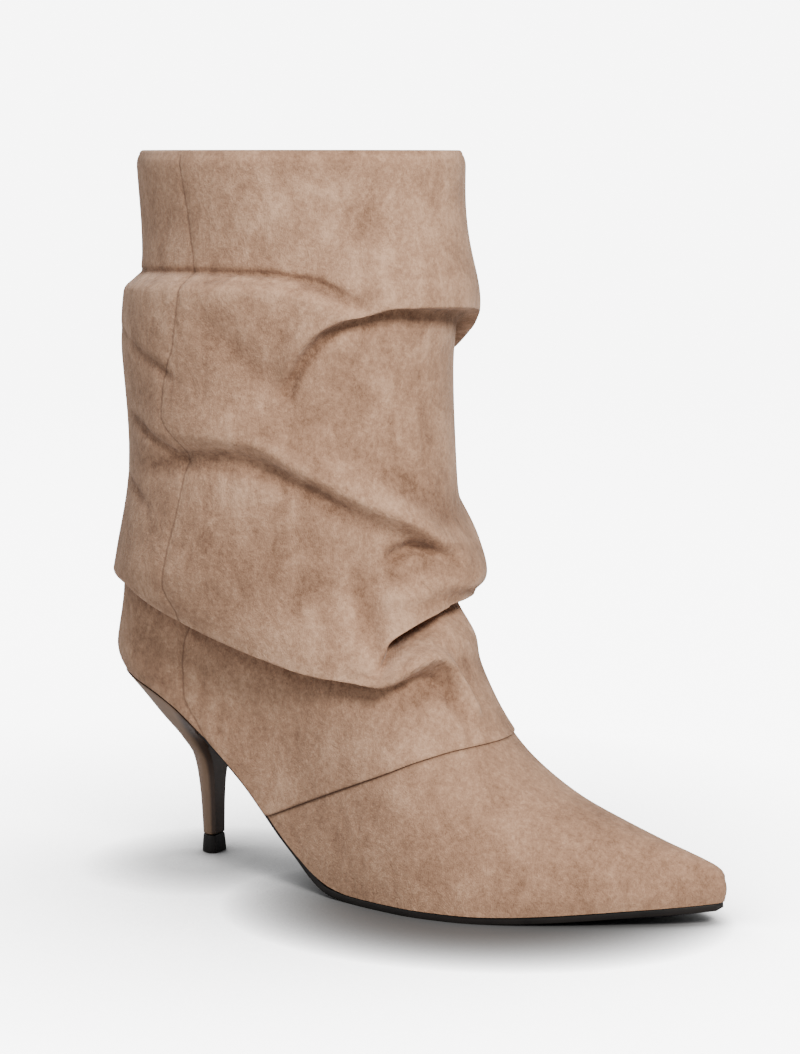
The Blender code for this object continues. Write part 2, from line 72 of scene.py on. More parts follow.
# Studio: light in the air, backdrop as the camera sees it, and its share in reflections
AIR_COLOUR = (0.93, 0.94, 0.96, 1.0)
AIR_LIGHT = 0.11
BACKDROP_COLOUR = (0.96, 0.96, 0.96, 1.0)
BACKDROP_LIGHT = 7.8
GLOSSY_SHARE = 0.09
LIGHTS = (
    # name, place, size, power, colour
    ("key", (1.20, -0.72, 1.12), 0.45, 42.0, (1.0, 0.97, 0.93)),
    ("fill", (-0.5, -1.4, 0.7), 1.0, 7.5, (0.97, 0.98, 1.0)),
    ("top", (-0.1, -0.35, 1.7), 0.7, 8.0, (1.0, 1.0, 1.0)),
    ("rim", (-1.3, 0.7, 0.9), 0.8, 5.0, (1.0, 1.0, 1.0)),
)
LIGHT_TARGET = (0.07, 0.0, 0.12)

# Floor: its disc, the glow the camera sees, the painted shade that dims the glow near the boot, and its
# rim
FLOOR_MIDDLE = (0.08, 0.0, 0.0)
FLOOR_RADIUS = 3.2
FLOOR_RIM = 0.4
FLOOR_DULLNESS = 0.985
FLOOR_GLOW = 7.6
OPEN_AIR_REACH = 0.24
OPEN_AIR_POWER = 3.4
FLOOR_FADE = (0.9, 2.2)
SHADOW_COLOUR = (0.06, 0.06, 0.06)
SHADOW_FADE = (0.42, 1.2)
# Soft shadows on the floor: middle and reach on the floor object, turn, and light left at the core
SHADOWS = (
    ((0.050, -0.025), 0.24, (0.078, 0.060), 0.012),
    ((-0.074, -0.012), 0.0, (0.040, 0.045), 0.35),
)

# Camera as fitted to the photo, with sensor and lens in mm
SENSOR = 36.0
CAMERA_PLACE = (0.5925, -0.8606, 0.272)
CAMERA_LENS = 94.0
CAMERA_TARGET = (0.0815, 0.005, 0.132)

# Layers of the nap, from broad patches to single hairs: noise, the spread of it that counts, and its
# shares in tone and height. Patchy layers follow the finish's patches
NAP_LAYERS = (
    # lie, scale, detail, roughness, distortion, low, high, tone, height, patchy
    ("even", 34.0, 6.0, 0.66, 0.9, 0.38, 0.62, 0.22, 0.0, True),
    ("upright", 110.0, 5.0, 0.68, 1.1, 0.38, 0.64, 0.22, 1.6, True),
    ("slanted", 60.0, 4.0, 0.60, 1.4, 0.38, 0.64, 0.20, 0.0, True),
    ("even", 560.0, 4.0, 0.70, 0.0, 0.34, 0.66, 0.32, 0.7, False),
    ("upright", 2300.0, 2.0, 0.70, 0.0, 0.34, 0.66, 0.18, 0.5, False),
)
# Turn and scale of the noise where the nap lies upright or slanted
NAP_LIES = {
    "upright": ((0.12, 0.22, 0.0), (1.0, 1.0, 0.6)),
    "slanted": ((0.5, -0.7, 0.3), (1.0, 1.0, 0.5)),
}
# Sockets of the nap, and the colours that feed them
NAP_COLOURS = {
    "Light": "suede_light",
    "Middle": "suede",
    "Dark": "suede_dark",
    "Seam": "suede_seam",
}
# Share of the mesh's tone mark, which carries painted highlight and painted shade, in the nap's tone,
# and the roughness from dark nap to light
TONE_AND_LIGHT_SHARE = 0.55
NAP_ROUGHNESS = (0.98, 0.80)
# Sewn line of the strip seam: distances in mm over which it fades, and its darkness
STRIP_LINE = (0.12, 0.65)
STRIP_DARKNESS = 0.52

# Fine grain: height from cells and soft noise, size of the soiling, and the spread of it that counts
GRAIN_SHARES = (0.7, 0.4)
SOILING_SCALE = 40.0
SOILING_SPREAD = (0.35, 0.7)

# Finishes with a fine grain: two colours, the second one's brightness, size and depth of the grain in
# 1/m and m, roughness, and other values of the shader
GRAINED = {
    # colour, worn, brightness, grain, depth, smoothest, roughest, others
    "lining_leather": ("lining", "lining", 0.80, 700.0, 0.00008, 0.55, 0.70, {}),
    "insole_leather": ("lining", "lining", 1.15, 520.0, 0.0001, 0.50, 0.65, {}),
    "sole_black": ("sole", "tread", 1.0, 420.0, 0.00006, 0.42, 0.60, {"specular_ior_level": 0.25}),
    "tip_rubber": ("sole", "tread", 1.0, 900.0, 0.00006, 0.50, 0.65, {"specular_ior_level": 0.25}),
    "heel_lacquer": ("heel", "heel", 0.88, 180.0, 0.00003, 0.38, 0.46,
                     {"coat_weight": 0.06, "coat_roughness": 0.20}),
}

# Sole outline: along in shares of the shoe's length, lateral and medial in shares of the ball's width
OUTLINE = (
    # along, lateral, medial
    (0.00, 0.000, 0.000),
    (0.03, -0.205, 0.205),
    (0.08, -0.300, 0.300),
    (0.14, -0.340, 0.340),
    (0.22, -0.355, 0.340),
    (0.30, -0.370, 0.320),
    (0.38, -0.402, 0.308),
    (0.46, -0.460, 0.345),
    (0.54, -0.512, 0.412),
    (0.60, -0.532, 0.456),
    (0.66, -0.515, 0.462),
    (0.72, -0.460, 0.444),
    (0.78, -0.375, 0.402),
    (0.84, -0.275, 0.340),
    (0.90, -0.165, 0.268),
    (0.95, -0.070, 0.205),
    (0.98, 0.000, 0.152),
    (1.00, 0.075, 0.075),
)

# Lower edge of the upper: heel in shares of the seat's rise, toe in shares of the toe spring
BOTTOM_LINE = (
    # along, heel, toe
    (0.000, 1.000, 0.00),
    (0.040, 0.985, 0.00),
    (0.095, 0.935, 0.00),
    (0.147, 0.850, 0.00),
    (0.187, 0.750, 0.00),
    (0.246, 0.585, 0.00),
    (0.282, 0.470, 0.00),
    (0.313, 0.355, 0.00),
    (0.349, 0.225, 0.00),
    (0.380, 0.135, 0.00),
    (0.413, 0.060, 0.00),
    (0.450, 0.015, 0.00),
    (0.490, 0.000, 0.00),
    (0.690, 0.000, 0.00),
    (0.750, 0.000, 0.09),
    (0.810, 0.000, 0.27),
    (0.870, 0.000, 0.50),
    (0.940, 0.000, 0.76),
    (1.000, 0.000, 1.00),
)

# Rings of the foot, from the sole up
FOOT_RINGS = (
    # back_x, back_z, front_x, front_z, width, foot, sag
    (0.014, 0.000, 1.000, 0.000, 0.56, 1.00, 1.00),
    (0.004, 0.018, 1.003, 0.052, 0.57, 1.00, 0.97),
    (-0.001, 0.033, 0.996, 0.117, 0.58, 1.00, 0.93),
    (-0.003, 0.048, 0.962, 0.170, 0.58, 1.00, 0.90),
    (-0.002, 0.063, 0.905, 0.222, 0.59, 1.00, 0.85),
    (0.000, 0.078, 0.838, 0.288, 0.60, 0.98, 0.78),
    (0.002, 0.093, 0.763, 0.375, 0.64, 0.95, 0.66),
    (0.004, 0.108, 0.708, 0.475, 0.68, 0.88, 0.52),
    (0.006, 0.123, 0.660, 0.600, 0.72, 0.78, 0.38),
    (0.009, 0.144, 0.618, 0.780, 0.77, 0.60, 0.24),
    (0.013, 0.169, 0.584, 1.000, 0.83, 0.40, 0.12),
)
TOE_EDGE_ROW = 2

# Rings of the shaft, up to the collar
SHAFT_RINGS = (
    # back_x, back_z, depth, front_z, width, foot, sag
    (0.020, 0.199, 0.985, 0.096, 0.90, 0.20, 0.05),
    (0.032, 0.239, 0.968, 0.180, 0.97, 0.05, 0.00),
    (0.042, 0.340, 0.943, 0.292, 1.01, 0.00, 0.00),
    (0.050, 0.592, 0.915, 0.545, 0.99, 0.00, 0.00),
    (0.066, 0.793, 0.915, 0.770, 0.95, 0.00, 0.00),
    (0.056, 1.000, 0.945, 1.000, 0.96, 0.00, 0.00),
)

# Main folds. angle in degrees from the back over the lateral side, height in shares of the collar's
# height, relief in shares of the fold relief, up and down in shares of the shaft's width
FOLDS = {
    "back_ledge": (
        # angle, height, relief, up, down, droop
        (-70, 0.768, 0.0, 0.070, 0.30, 0.0),
        (-35, 0.775, 0.85, 0.092, 0.36, -0.85),
        (40, 0.786, 1.0, 0.096, 0.40, -0.90),
        (78, 0.790, 1.05, 0.094, 0.38, -0.90),
        (106, 0.793, 0.95, 0.080, 0.30, -0.88),
        (122, 0.790, 0.70, 0.064, 0.24, -0.80),
        (136, 0.781, 0.35, 0.050, 0.20, -0.60),
        (148, 0.774, 0.0, 0.040, 0.18, 0.0),
    ),
    "front_roll": (
        (111, 0.672, 0.0, 0.12, 0.030, 0.2),
        (118, 0.730, 0.35, 0.14, 0.024, 0.4),
        (127, 0.770, 0.6, 0.16, 0.022, 0.5),
        (137, 0.792, 0.9, 0.18, 0.022, 0.5),
        (150, 0.808, 1.2, 0.20, 0.024, 0.45),
        (170, 0.806, 1.35, 0.20, 0.030, 0.35),
        (202, 0.794, 1.3, 0.22, 0.030, 0.35),
        (220, 0.768, 1.3, 0.24, 0.022, 0.6),
        (242, 0.712, 1.3, 0.26, 0.026, 0.6),
        (270, 0.655, 1.2, 0.30, 0.030, 0.6),
        (300, 0.640, 0.9, 0.28, 0.045, 0.4),
        (335, 0.660, 0.0, 0.24, 0.080, 0.2),
    ),
    "sweep": (
        (40, 0.590, 0.0, 0.12, 0.12, 0.0),
        (78, 0.624, 0.5, 0.11, 0.06, 0.1),
        (102, 0.622, 0.75, 0.11, 0.05, 0.2),
        (119, 0.590, 0.75, 0.12, 0.06, 0.2),
        (140, 0.548, 0.95, 0.10, 0.06, 0.2),
        (160, 0.512, 1.2, 0.08, 0.06, 0.2),
        (178, 0.474, 1.02, 0.09, 0.08, 0.2),
        (196, 0.462, 0.98, 0.10, 0.08, 0.2),
        (235, 0.515, 0.9, 0.10, 0.08, 0.1),
        (275, 0.530, 0.0, 0.12, 0.10, 0.0),
    ),
    "low_lip": (
        (-120, 0.398, 0.0, 0.24, 0.028, 0.6),
        (-80, 0.395, 1.1, 0.26, 0.028, 0.6),
        (-40, 0.415, 0.9, 0.26, 0.030, 0.5),
        (0, 0.432, 0.8, 0.26, 0.030, 0.5),
        (44, 0.418, 0.9, 0.26, 0.028, 0.6),
        (66, 0.390, 1.1, 0.26, 0.024, 0.7),
        (89, 0.359, 1.3, 0.28, 0.022, 0.7),
        (114, 0.332, 1.4, 0.26, 0.022, 0.7),
        (131, 0.320, 1.3, 0.24, 0.024, 0.6),
        (140, 0.312, 1.0, 0.12, 0.026, 0.5),
        (148, 0.322, 0.7, 0.06, 0.028, 0.4),
        (156, 0.330, 0.4, 0.05, 0.030, 0.2),
        (163, 0.330, 0.0, 0.05, 0.030, 0.0),
    ),
    "beak_lip": (
        (128, 0.335, 0.0, 0.05, 0.020, 0.5),
        (139, 0.338, 0.4, 0.09, 0.018, 0.6),
        (145, 0.364, 0.95, 0.12, 0.018, 0.6),
        (151, 0.384, 1.3, 0.15, 0.016, 0.65),
        (156, 0.394, 1.45, 0.16, 0.016, 0.6),
        (165, 0.406, 1.4, 0.16, 0.018, 0.6),
        (176, 0.414, 1.2, 0.16, 0.024, 0.6),
        (190, 0.416, 1.2, 0.17, 0.028, 0.6),
        (210, 0.414, 1.2, 0.20, 0.028, 0.6),
        (240, 0.398, 1.2, 0.24, 0.028, 0.6),
        (280, 0.395, 0.0, 0.26, 0.028, 0.6),
    ),
    "instep_roll": (
        (126, 0.300, 0.0, 0.06, 0.06, 0.0),
        (150, 0.325, 0.7, 0.08, 0.07, 0.1),
        (172, 0.345, 0.45, 0.09, 0.07, 0.1),
        (205, 0.345, 0.35, 0.09, 0.07, 0.1),
        (245, 0.320, 0.0, 0.08, 0.08, 0.0),
    ),
}

# Smaller creases and ridges, laid on one by one. angle and height as above, depth in shares of the fold
# relief (below nought is a crease), above and below are the reaches across it in shares of the
# shaft's width
STROKES = {
    "roll_dimple": (
        # angle, height, depth, above, below
        (113, 0.668, 0.00, 0.030, 0.030),
        (115, 0.685, -0.36, 0.026, 0.026),
        (119, 0.714, -0.42, 0.020, 0.024),
        (126, 0.748, -0.35, 0.016, 0.030),
        (136, 0.772, -0.25, 0.016, 0.040),
        (152, 0.780, 0.00, 0.018, 0.050),
    ),
    "eyebrow": (
        (146, 0.455, 0.00, 0.030, 0.022),
        (152, 0.468, -0.50, 0.030, 0.018),
        (158, 0.478, -0.60, 0.028, 0.020),
        (166, 0.480, -0.48, 0.028, 0.020),
        (173, 0.472, -0.40, 0.024, 0.020),
        (178, 0.458, 0.00, 0.024, 0.024),
    ),
    "pocket": (
        (138, 0.322, 0.00, 0.014, 0.024),
        (142, 0.341, -0.90, 0.018, 0.020),
        (149, 0.360, -1.90, 0.022, 0.032),
        (157, 0.373, -2.30, 0.026, 0.038),
        (166, 0.383, -1.90, 0.026, 0.042),
        (177, 0.393, -0.90, 0.026, 0.040),
        (192, 0.390, 0.00, 0.024, 0.050),
    ),
    "beak": (
        (140, 0.400, 0.00, 0.034, 0.022),
        (152, 0.425, 0.35, 0.040, 0.030),
        (166, 0.440, 0.40, 0.044, 0.030),
        (184, 0.436, 0.45, 0.050, 0.030),
        (206, 0.436, 0.40, 0.050, 0.030),
        (232, 0.440, 0.00, 0.040, 0.030),
    ),
    "under_lip": (
        (139, 0.312, 0.20, 0.020, 0.020),
        (146, 0.326, 0.60, 0.020, 0.022),
        (152, 0.336, 0.85, 0.022, 0.024),
        (158, 0.339, 0.90, 0.024, 0.026),
        (163, 0.334, 0.90, 0.026, 0.026),
        (167, 0.318, 0.90, 0.026, 0.026),
        (170, 0.294, 0.85, 0.026, 0.026),
        (172, 0.268, 0.65, 0.026, 0.026),
        (173, 0.244, 0.00, 0.026, 0.026),
    ),
    "under_crease": (
        (136, 0.294, 0.00, 0.020, 0.028),
        (146, 0.302, -0.38, 0.020, 0.030),
        (153, 0.307, -0.50, 0.022, 0.032),
        (158, 0.303, -0.48, 0.024, 0.034),
        (162, 0.290, -0.40, 0.026, 0.034),
        (164, 0.270, -0.28, 0.026, 0.034),
        (166, 0.240, 0.00, 0.028, 0.034),
    ),
    "under_sweep": (
        (52, 0.560, 0.00, 0.035, 0.050),
        (78, 0.590, -0.34, 0.030, 0.050),
        (98, 0.594, -0.42, 0.028, 0.050),
        (112, 0.580, -0.36, 0.028, 0.050),
        (126, 0.552, -0.18, 0.028, 0.050),
        (140, 0.520, 0.00, 0.030, 0.050),
    ),
    "ledge_crease": (
        (-20, 0.826, 0.00, 0.018, 0.018),
        (40, 0.832, -0.16, 0.016, 0.018),
        (84, 0.836, -0.24, 0.016, 0.018),
        (106, 0.835, -0.30, 0.018, 0.018),
        (122, 0.826, -0.32, 0.020, 0.018),
        (134, 0.811, -0.22, 0.020, 0.018),
        (143, 0.798, 0.00, 0.020, 0.020),
    ),
    "collar_wave": (
        (20, 0.900, 0.00, 0.100, 0.100),
        (60, 0.910, -0.20, 0.120, 0.100),
        (100, 0.925, 0.15, 0.120, 0.100),
        (135, 0.905, -0.18, 0.110, 0.100),
        (170, 0.900, 0.20, 0.110, 0.110),
        (230, 0.905, -0.15, 0.120, 0.110),
        (300, 0.900, 0.12, 0.120, 0.110),
        (350, 0.900, 0.00, 0.100, 0.100),
    ),
    "shaft_hollow": (
        (76, 0.770, 0.00, 0.060, 0.060),
        (90, 0.745, -0.22, 0.060, 0.060),
        (104, 0.705, -0.25, 0.060, 0.060),
        (122, 0.665, 0.00, 0.060, 0.060),
    ),
    "heel_tuck": (
        (22, 0.395, 0.00, 0.020, 0.060),
        (50, 0.375, -0.22, 0.020, 0.070),
        (78, 0.335, -0.26, 0.018, 0.070),
        (104, 0.305, -0.26, 0.018, 0.060),
        (128, 0.295, 0.00, 0.018, 0.060),
    ),
    "strip_tuck_high": (
        (20, 0.742, 0.00, 0.020, 0.030),
        (44, 0.728, -0.16, 0.018, 0.030),
        (66, 0.700, -0.20, 0.018, 0.028),
        (80, 0.672, 0.00, 0.020, 0.028),
    ),
    "strip_tuck": (
        (30, 0.640, 0.00, 0.020, 0.026),
        (52, 0.626, -0.26, 0.016, 0.026),
        (70, 0.600, -0.24, 0.016, 0.026),
        (86, 0.566, 0.00, 0.020, 0.026),
    ),
    "strip_tuck_low": (
        (24, 0.560, 0.00, 0.018, 0.026),
        (46, 0.540, -0.20, 0.016, 0.026),
        (64, 0.508, 0.00, 0.018, 0.026),
    ),
    "medial_fold": (
        (214, 0.660, 0.00, 0.060, 0.050),
        (240, 0.610, 0.35, 0.070, 0.040),
        (272, 0.585, 0.45, 0.070, 0.040),
        (306, 0.600, 0.25, 0.070, 0.050),
        (332, 0.615, 0.00, 0.060, 0.060),
    ),
    "medial_crease": (
        (226, 0.460, 0.00, 0.040, 0.030),
        (252, 0.455, -0.45, 0.040, 0.028),
        (284, 0.470, -0.45, 0.040, 0.028),
        (312, 0.490, 0.00, 0.040, 0.030),
    ),
}

# Patches of painted highlight and painted shade, laid on one by one
PAINTED_LIGHT_PATCHES = (
    # angle, height, angle's reach, height's reach, tone
    (152, 0.915, 34, 0.055, 0.55),
    (112, 0.930, 30, 0.045, 0.25),
    (72, 0.935, 22, 0.045, 0.10),
    (60, 0.845, 18, 0.025, -0.25),
    (142, 0.740, 20, 0.045, -0.38),
    (176, 0.700, 16, 0.060, -0.15),
    (184, 0.460, 14, 0.045, -0.40),
    (150, 0.500, 10, 0.022, 0.25),
    (74, 0.590, 14, 0.030, 0.25),
    (141, 0.420, 13, 0.050, 0.50),
    (96, 0.450, 26, 0.040, -0.10),
    (124, 0.250, 26, 0.040, 0.18),
    (64, 0.300, 14, 0.040, -0.10),
    (154, 0.357, 8, 0.020, -0.45),
    (164, 0.368, 9, 0.018, -0.30),
)

# Heights that the rows of the mesh follow round the shaft, in shares of the collar's height
RING_LINES = (
    # angle, low_lip, sweep, roll, ledge
    (0, 0.432, 0.585, 0.750, 0.820),
    (44, 0.418, 0.590, 0.760, 0.822),
    (78, 0.372, 0.630, 0.765, 0.825),
    (100, 0.345, 0.640, 0.760, 0.828),
    (120, 0.328, 0.612, 0.745, 0.831),
    (136, 0.322, 0.560, 0.772, 0.838),
    (150, 0.378, 0.530, 0.808, 0.862),
    (172, 0.410, 0.490, 0.805, 0.862),
    (205, 0.415, 0.480, 0.786, 0.850),
    (240, 0.398, 0.516, 0.707, 0.826),
    (280, 0.395, 0.530, 0.650, 0.810),
    (320, 0.415, 0.560, 0.670, 0.815),
    (360, 0.432, 0.585, 0.750, 0.820),
)
# Shares of the mesh rows from the panel's edge to each of those lines, and to the collar
ROW_SHARES = (0.0, 0.20, 0.48, 0.74, 0.85, 1.0)

# Edge of the shaft panel over the vamp, seen from the side
SEAM_LINE = (
    # along, height in shares of the instep's height
    (0.310, 0.255),
    (0.354, 0.305),
    (0.395, 0.354),
    (0.489, 0.464),
    (0.551, 0.535),
    (0.601, 0.595),
    (0.635, 0.625),
    (0.655, 0.633),
    (0.700, 0.640),
)

# Seam beside the back strip: height in shares of the collar's height, angle in degrees
STRIP_SEAM = (
    (0.190, 54),
    (0.212, 53),
    (0.240, 51),
    (0.281, 55),
    (0.324, 62),
    (0.393, 73),
    (0.430, 69),
    (0.469, 70),
    (0.515, 73),
    (0.598, 77),
    (0.643, 68),
    (0.683, 69),
    (0.725, 74),
    (0.777, 75),
    (0.835, 75),
    (0.903, 72),
    (0.994, 69),
)

# Level sections of the heel block, from the tip to the seat
HEEL_SECTIONS = (
    # rise, back, front, width, fullness
    (0.00, 0.000, 0.00, 0.000, 2.0),
    (0.25, 0.030, 0.02, 0.020, 2.0),
    (0.42, 0.065, 0.05, 0.065, 2.1),
    (0.56, 0.105, 0.12, 0.190, 2.3),
    (0.72, 0.205, 0.28, 0.560, 2.6),
    (0.86, 0.545, 0.55, 0.850, 2.8),
    (1.00, 1.000, 1.00, 1.000, 2.9),
)


def length(name, default, description):
    return FloatProperty(name=name, description=description, default=default * MM, min=0.0,
                         subtype="DISTANCE", unit="LENGTH", precision=4)


def colour(name, default, description):
    return FloatVectorProperty(name=name, description=description, default=default, size=3,
                               min=0.0, max=1.0, subtype="COLOR")


class BootSizes(PropertyGroup):
    """Sizes of the boot, the same as those of its solids."""
    shoe_length: length("Shoe length", 250, "From the heel's back to the toe")
    heel_setback: length("Heel setback", 37, "From the heel tip back to the heel's back")
    ball_width: length("Ball width", 80, "Unit of the sole's outline")
    heel_height: length("Heel height", 72, "Height of the seat at the back")
    instep_height: length("Instep height", 93, "Height of the instep ring's front")
    toe_spring: length("Toe spring", 5.5, "Rise of the toe from the ball")
    toe_half_width: length("Toe half width", 11, "Half width of the blunt toe")
    collar_height: length("Collar height", 270, "Height of the collar's rim")
    shaft_depth: length("Shaft depth", 136, "Front to back unit of the shaft")
    shaft_width: length("Shaft width", 96, "Side to side unit of the shaft")
    fold_relief: length("Fold relief", 6, "How far a fold of relief one stands out")
    wall: length("Upper wall", 2, "Thickness of suede and lining")
    lap: length("Panel lap", 1.2, "Step of the shaft panel over the vamp")
    sole: length("Sole thickness", 2.5, "Thickness of the outsole")
    insole: length("Insole thickness", 1.5, "Thickness of the insole")
    tip: length("Tip height", 7, "Height of the heel tip")
    stem_depth: length("Heel stem depth", 7, "Heel at the tip, front to back")
    stem_width: length("Heel stem width", 10, "Heel at the tip, side to side")
    tip_flare: length("Tip flare", 0.5, "Flare of the heel tip to the floor")
    gap: length("Gap", 0.3, "Room between pieces that touch")
    facing: length("Collar facing", 26, "Suede turned to the inside of the collar")


class BootColours(PropertyGroup):
    """Colours of the boot and the studio."""
    suede_light: colour("Suede, brushed up", (0.600, 0.378, 0.248), "Light nap")
    suede: colour("Suede", (0.370, 0.216, 0.135), "Main colour of the nap")
    suede_dark: colour("Suede, brushed down", (0.180, 0.097, 0.058), "Dark nap")
    # painted shade: this colour darkens the panel's cut edge and the vamp under it, and also the strip
    # seam's sewn line
    suede_seam: colour("Suede in the seams", (0.085, 0.045, 0.026), "Shadowed edge of a seam")
    heel: colour("Heel lacquer", (0.240, 0.145, 0.088), "Glossy taupe of the heel")
    # painted shade: the breast's dark colour stands for the shade on the heel's front
    breast: colour("Heel breast", (0.046, 0.022, 0.011), "Dark stain on the heel's front")
    sole: colour("Sole edge", (0.0040, 0.0032, 0.0030), "Black of the sole")
    tread: colour("Sole underside", (0.010, 0.0075, 0.0065), "Worn black under the ball")
    lining: colour("Lining", (0.47, 0.355, 0.265), "Soft leather lining")
    floor: colour("Floor", (0.50, 0.50, 0.51), "Pale studio floor")


def smooth_rows(keys, values, at):
    """Cubic curve through rows of values, with slopes that don't overshoot."""
    keys = np.asarray(keys, dtype=float)
    values = np.asarray(values, dtype=float)
    steps = np.diff(keys)
    rises = np.diff(values) / steps
    slopes = np.zeros_like(values)
    same_way = rises[1:] * rises[:-1] > 0
    weights = 2 * steps[1:] + steps[:-1], steps[1:] + 2 * steps[:-1]
    safe = np.where(same_way, rises[:-1], 1.0), np.where(same_way, rises[1:], 1.0)
    blend = (weights[0] + weights[1]) / (weights[0] / safe[0] + weights[1] / safe[1])
    slopes[1:-1] = np.where(same_way, blend, 0.0)
    slopes[0] = rises[0]
    slopes[-1] = rises[-1]
    at = np.clip(at, keys[0], keys[-1])
    cell = np.clip(np.searchsorted(keys, at, side="right") - 1, 0, len(steps) - 1)
    part = (at - keys[cell]) / steps[cell]
    left = (1 + 2 * part) * (1 - part) ** 2 * values[cell]
    left = left + part * (1 - part) ** 2 * steps[cell] * slopes[cell]
    right = part ** 2 * (3 - 2 * part) * values[cell + 1]
    right = right - part ** 2 * (1 - part) * steps[cell] * slopes[cell + 1]
    return left + right


def column(rows, place):
    return np.array([row[place] for row in rows], dtype=float)


def curves(rows, at):
    """Every column of a table but the first, at places along the first."""
    return [smooth_rows(column(rows, 0), column(rows, place), at)
            for place in range(1, len(rows[0]))]


def soft_step(value):
    value = np.clip(value, 0.0, 1.0)
    return value * value * (3 - 2 * value)


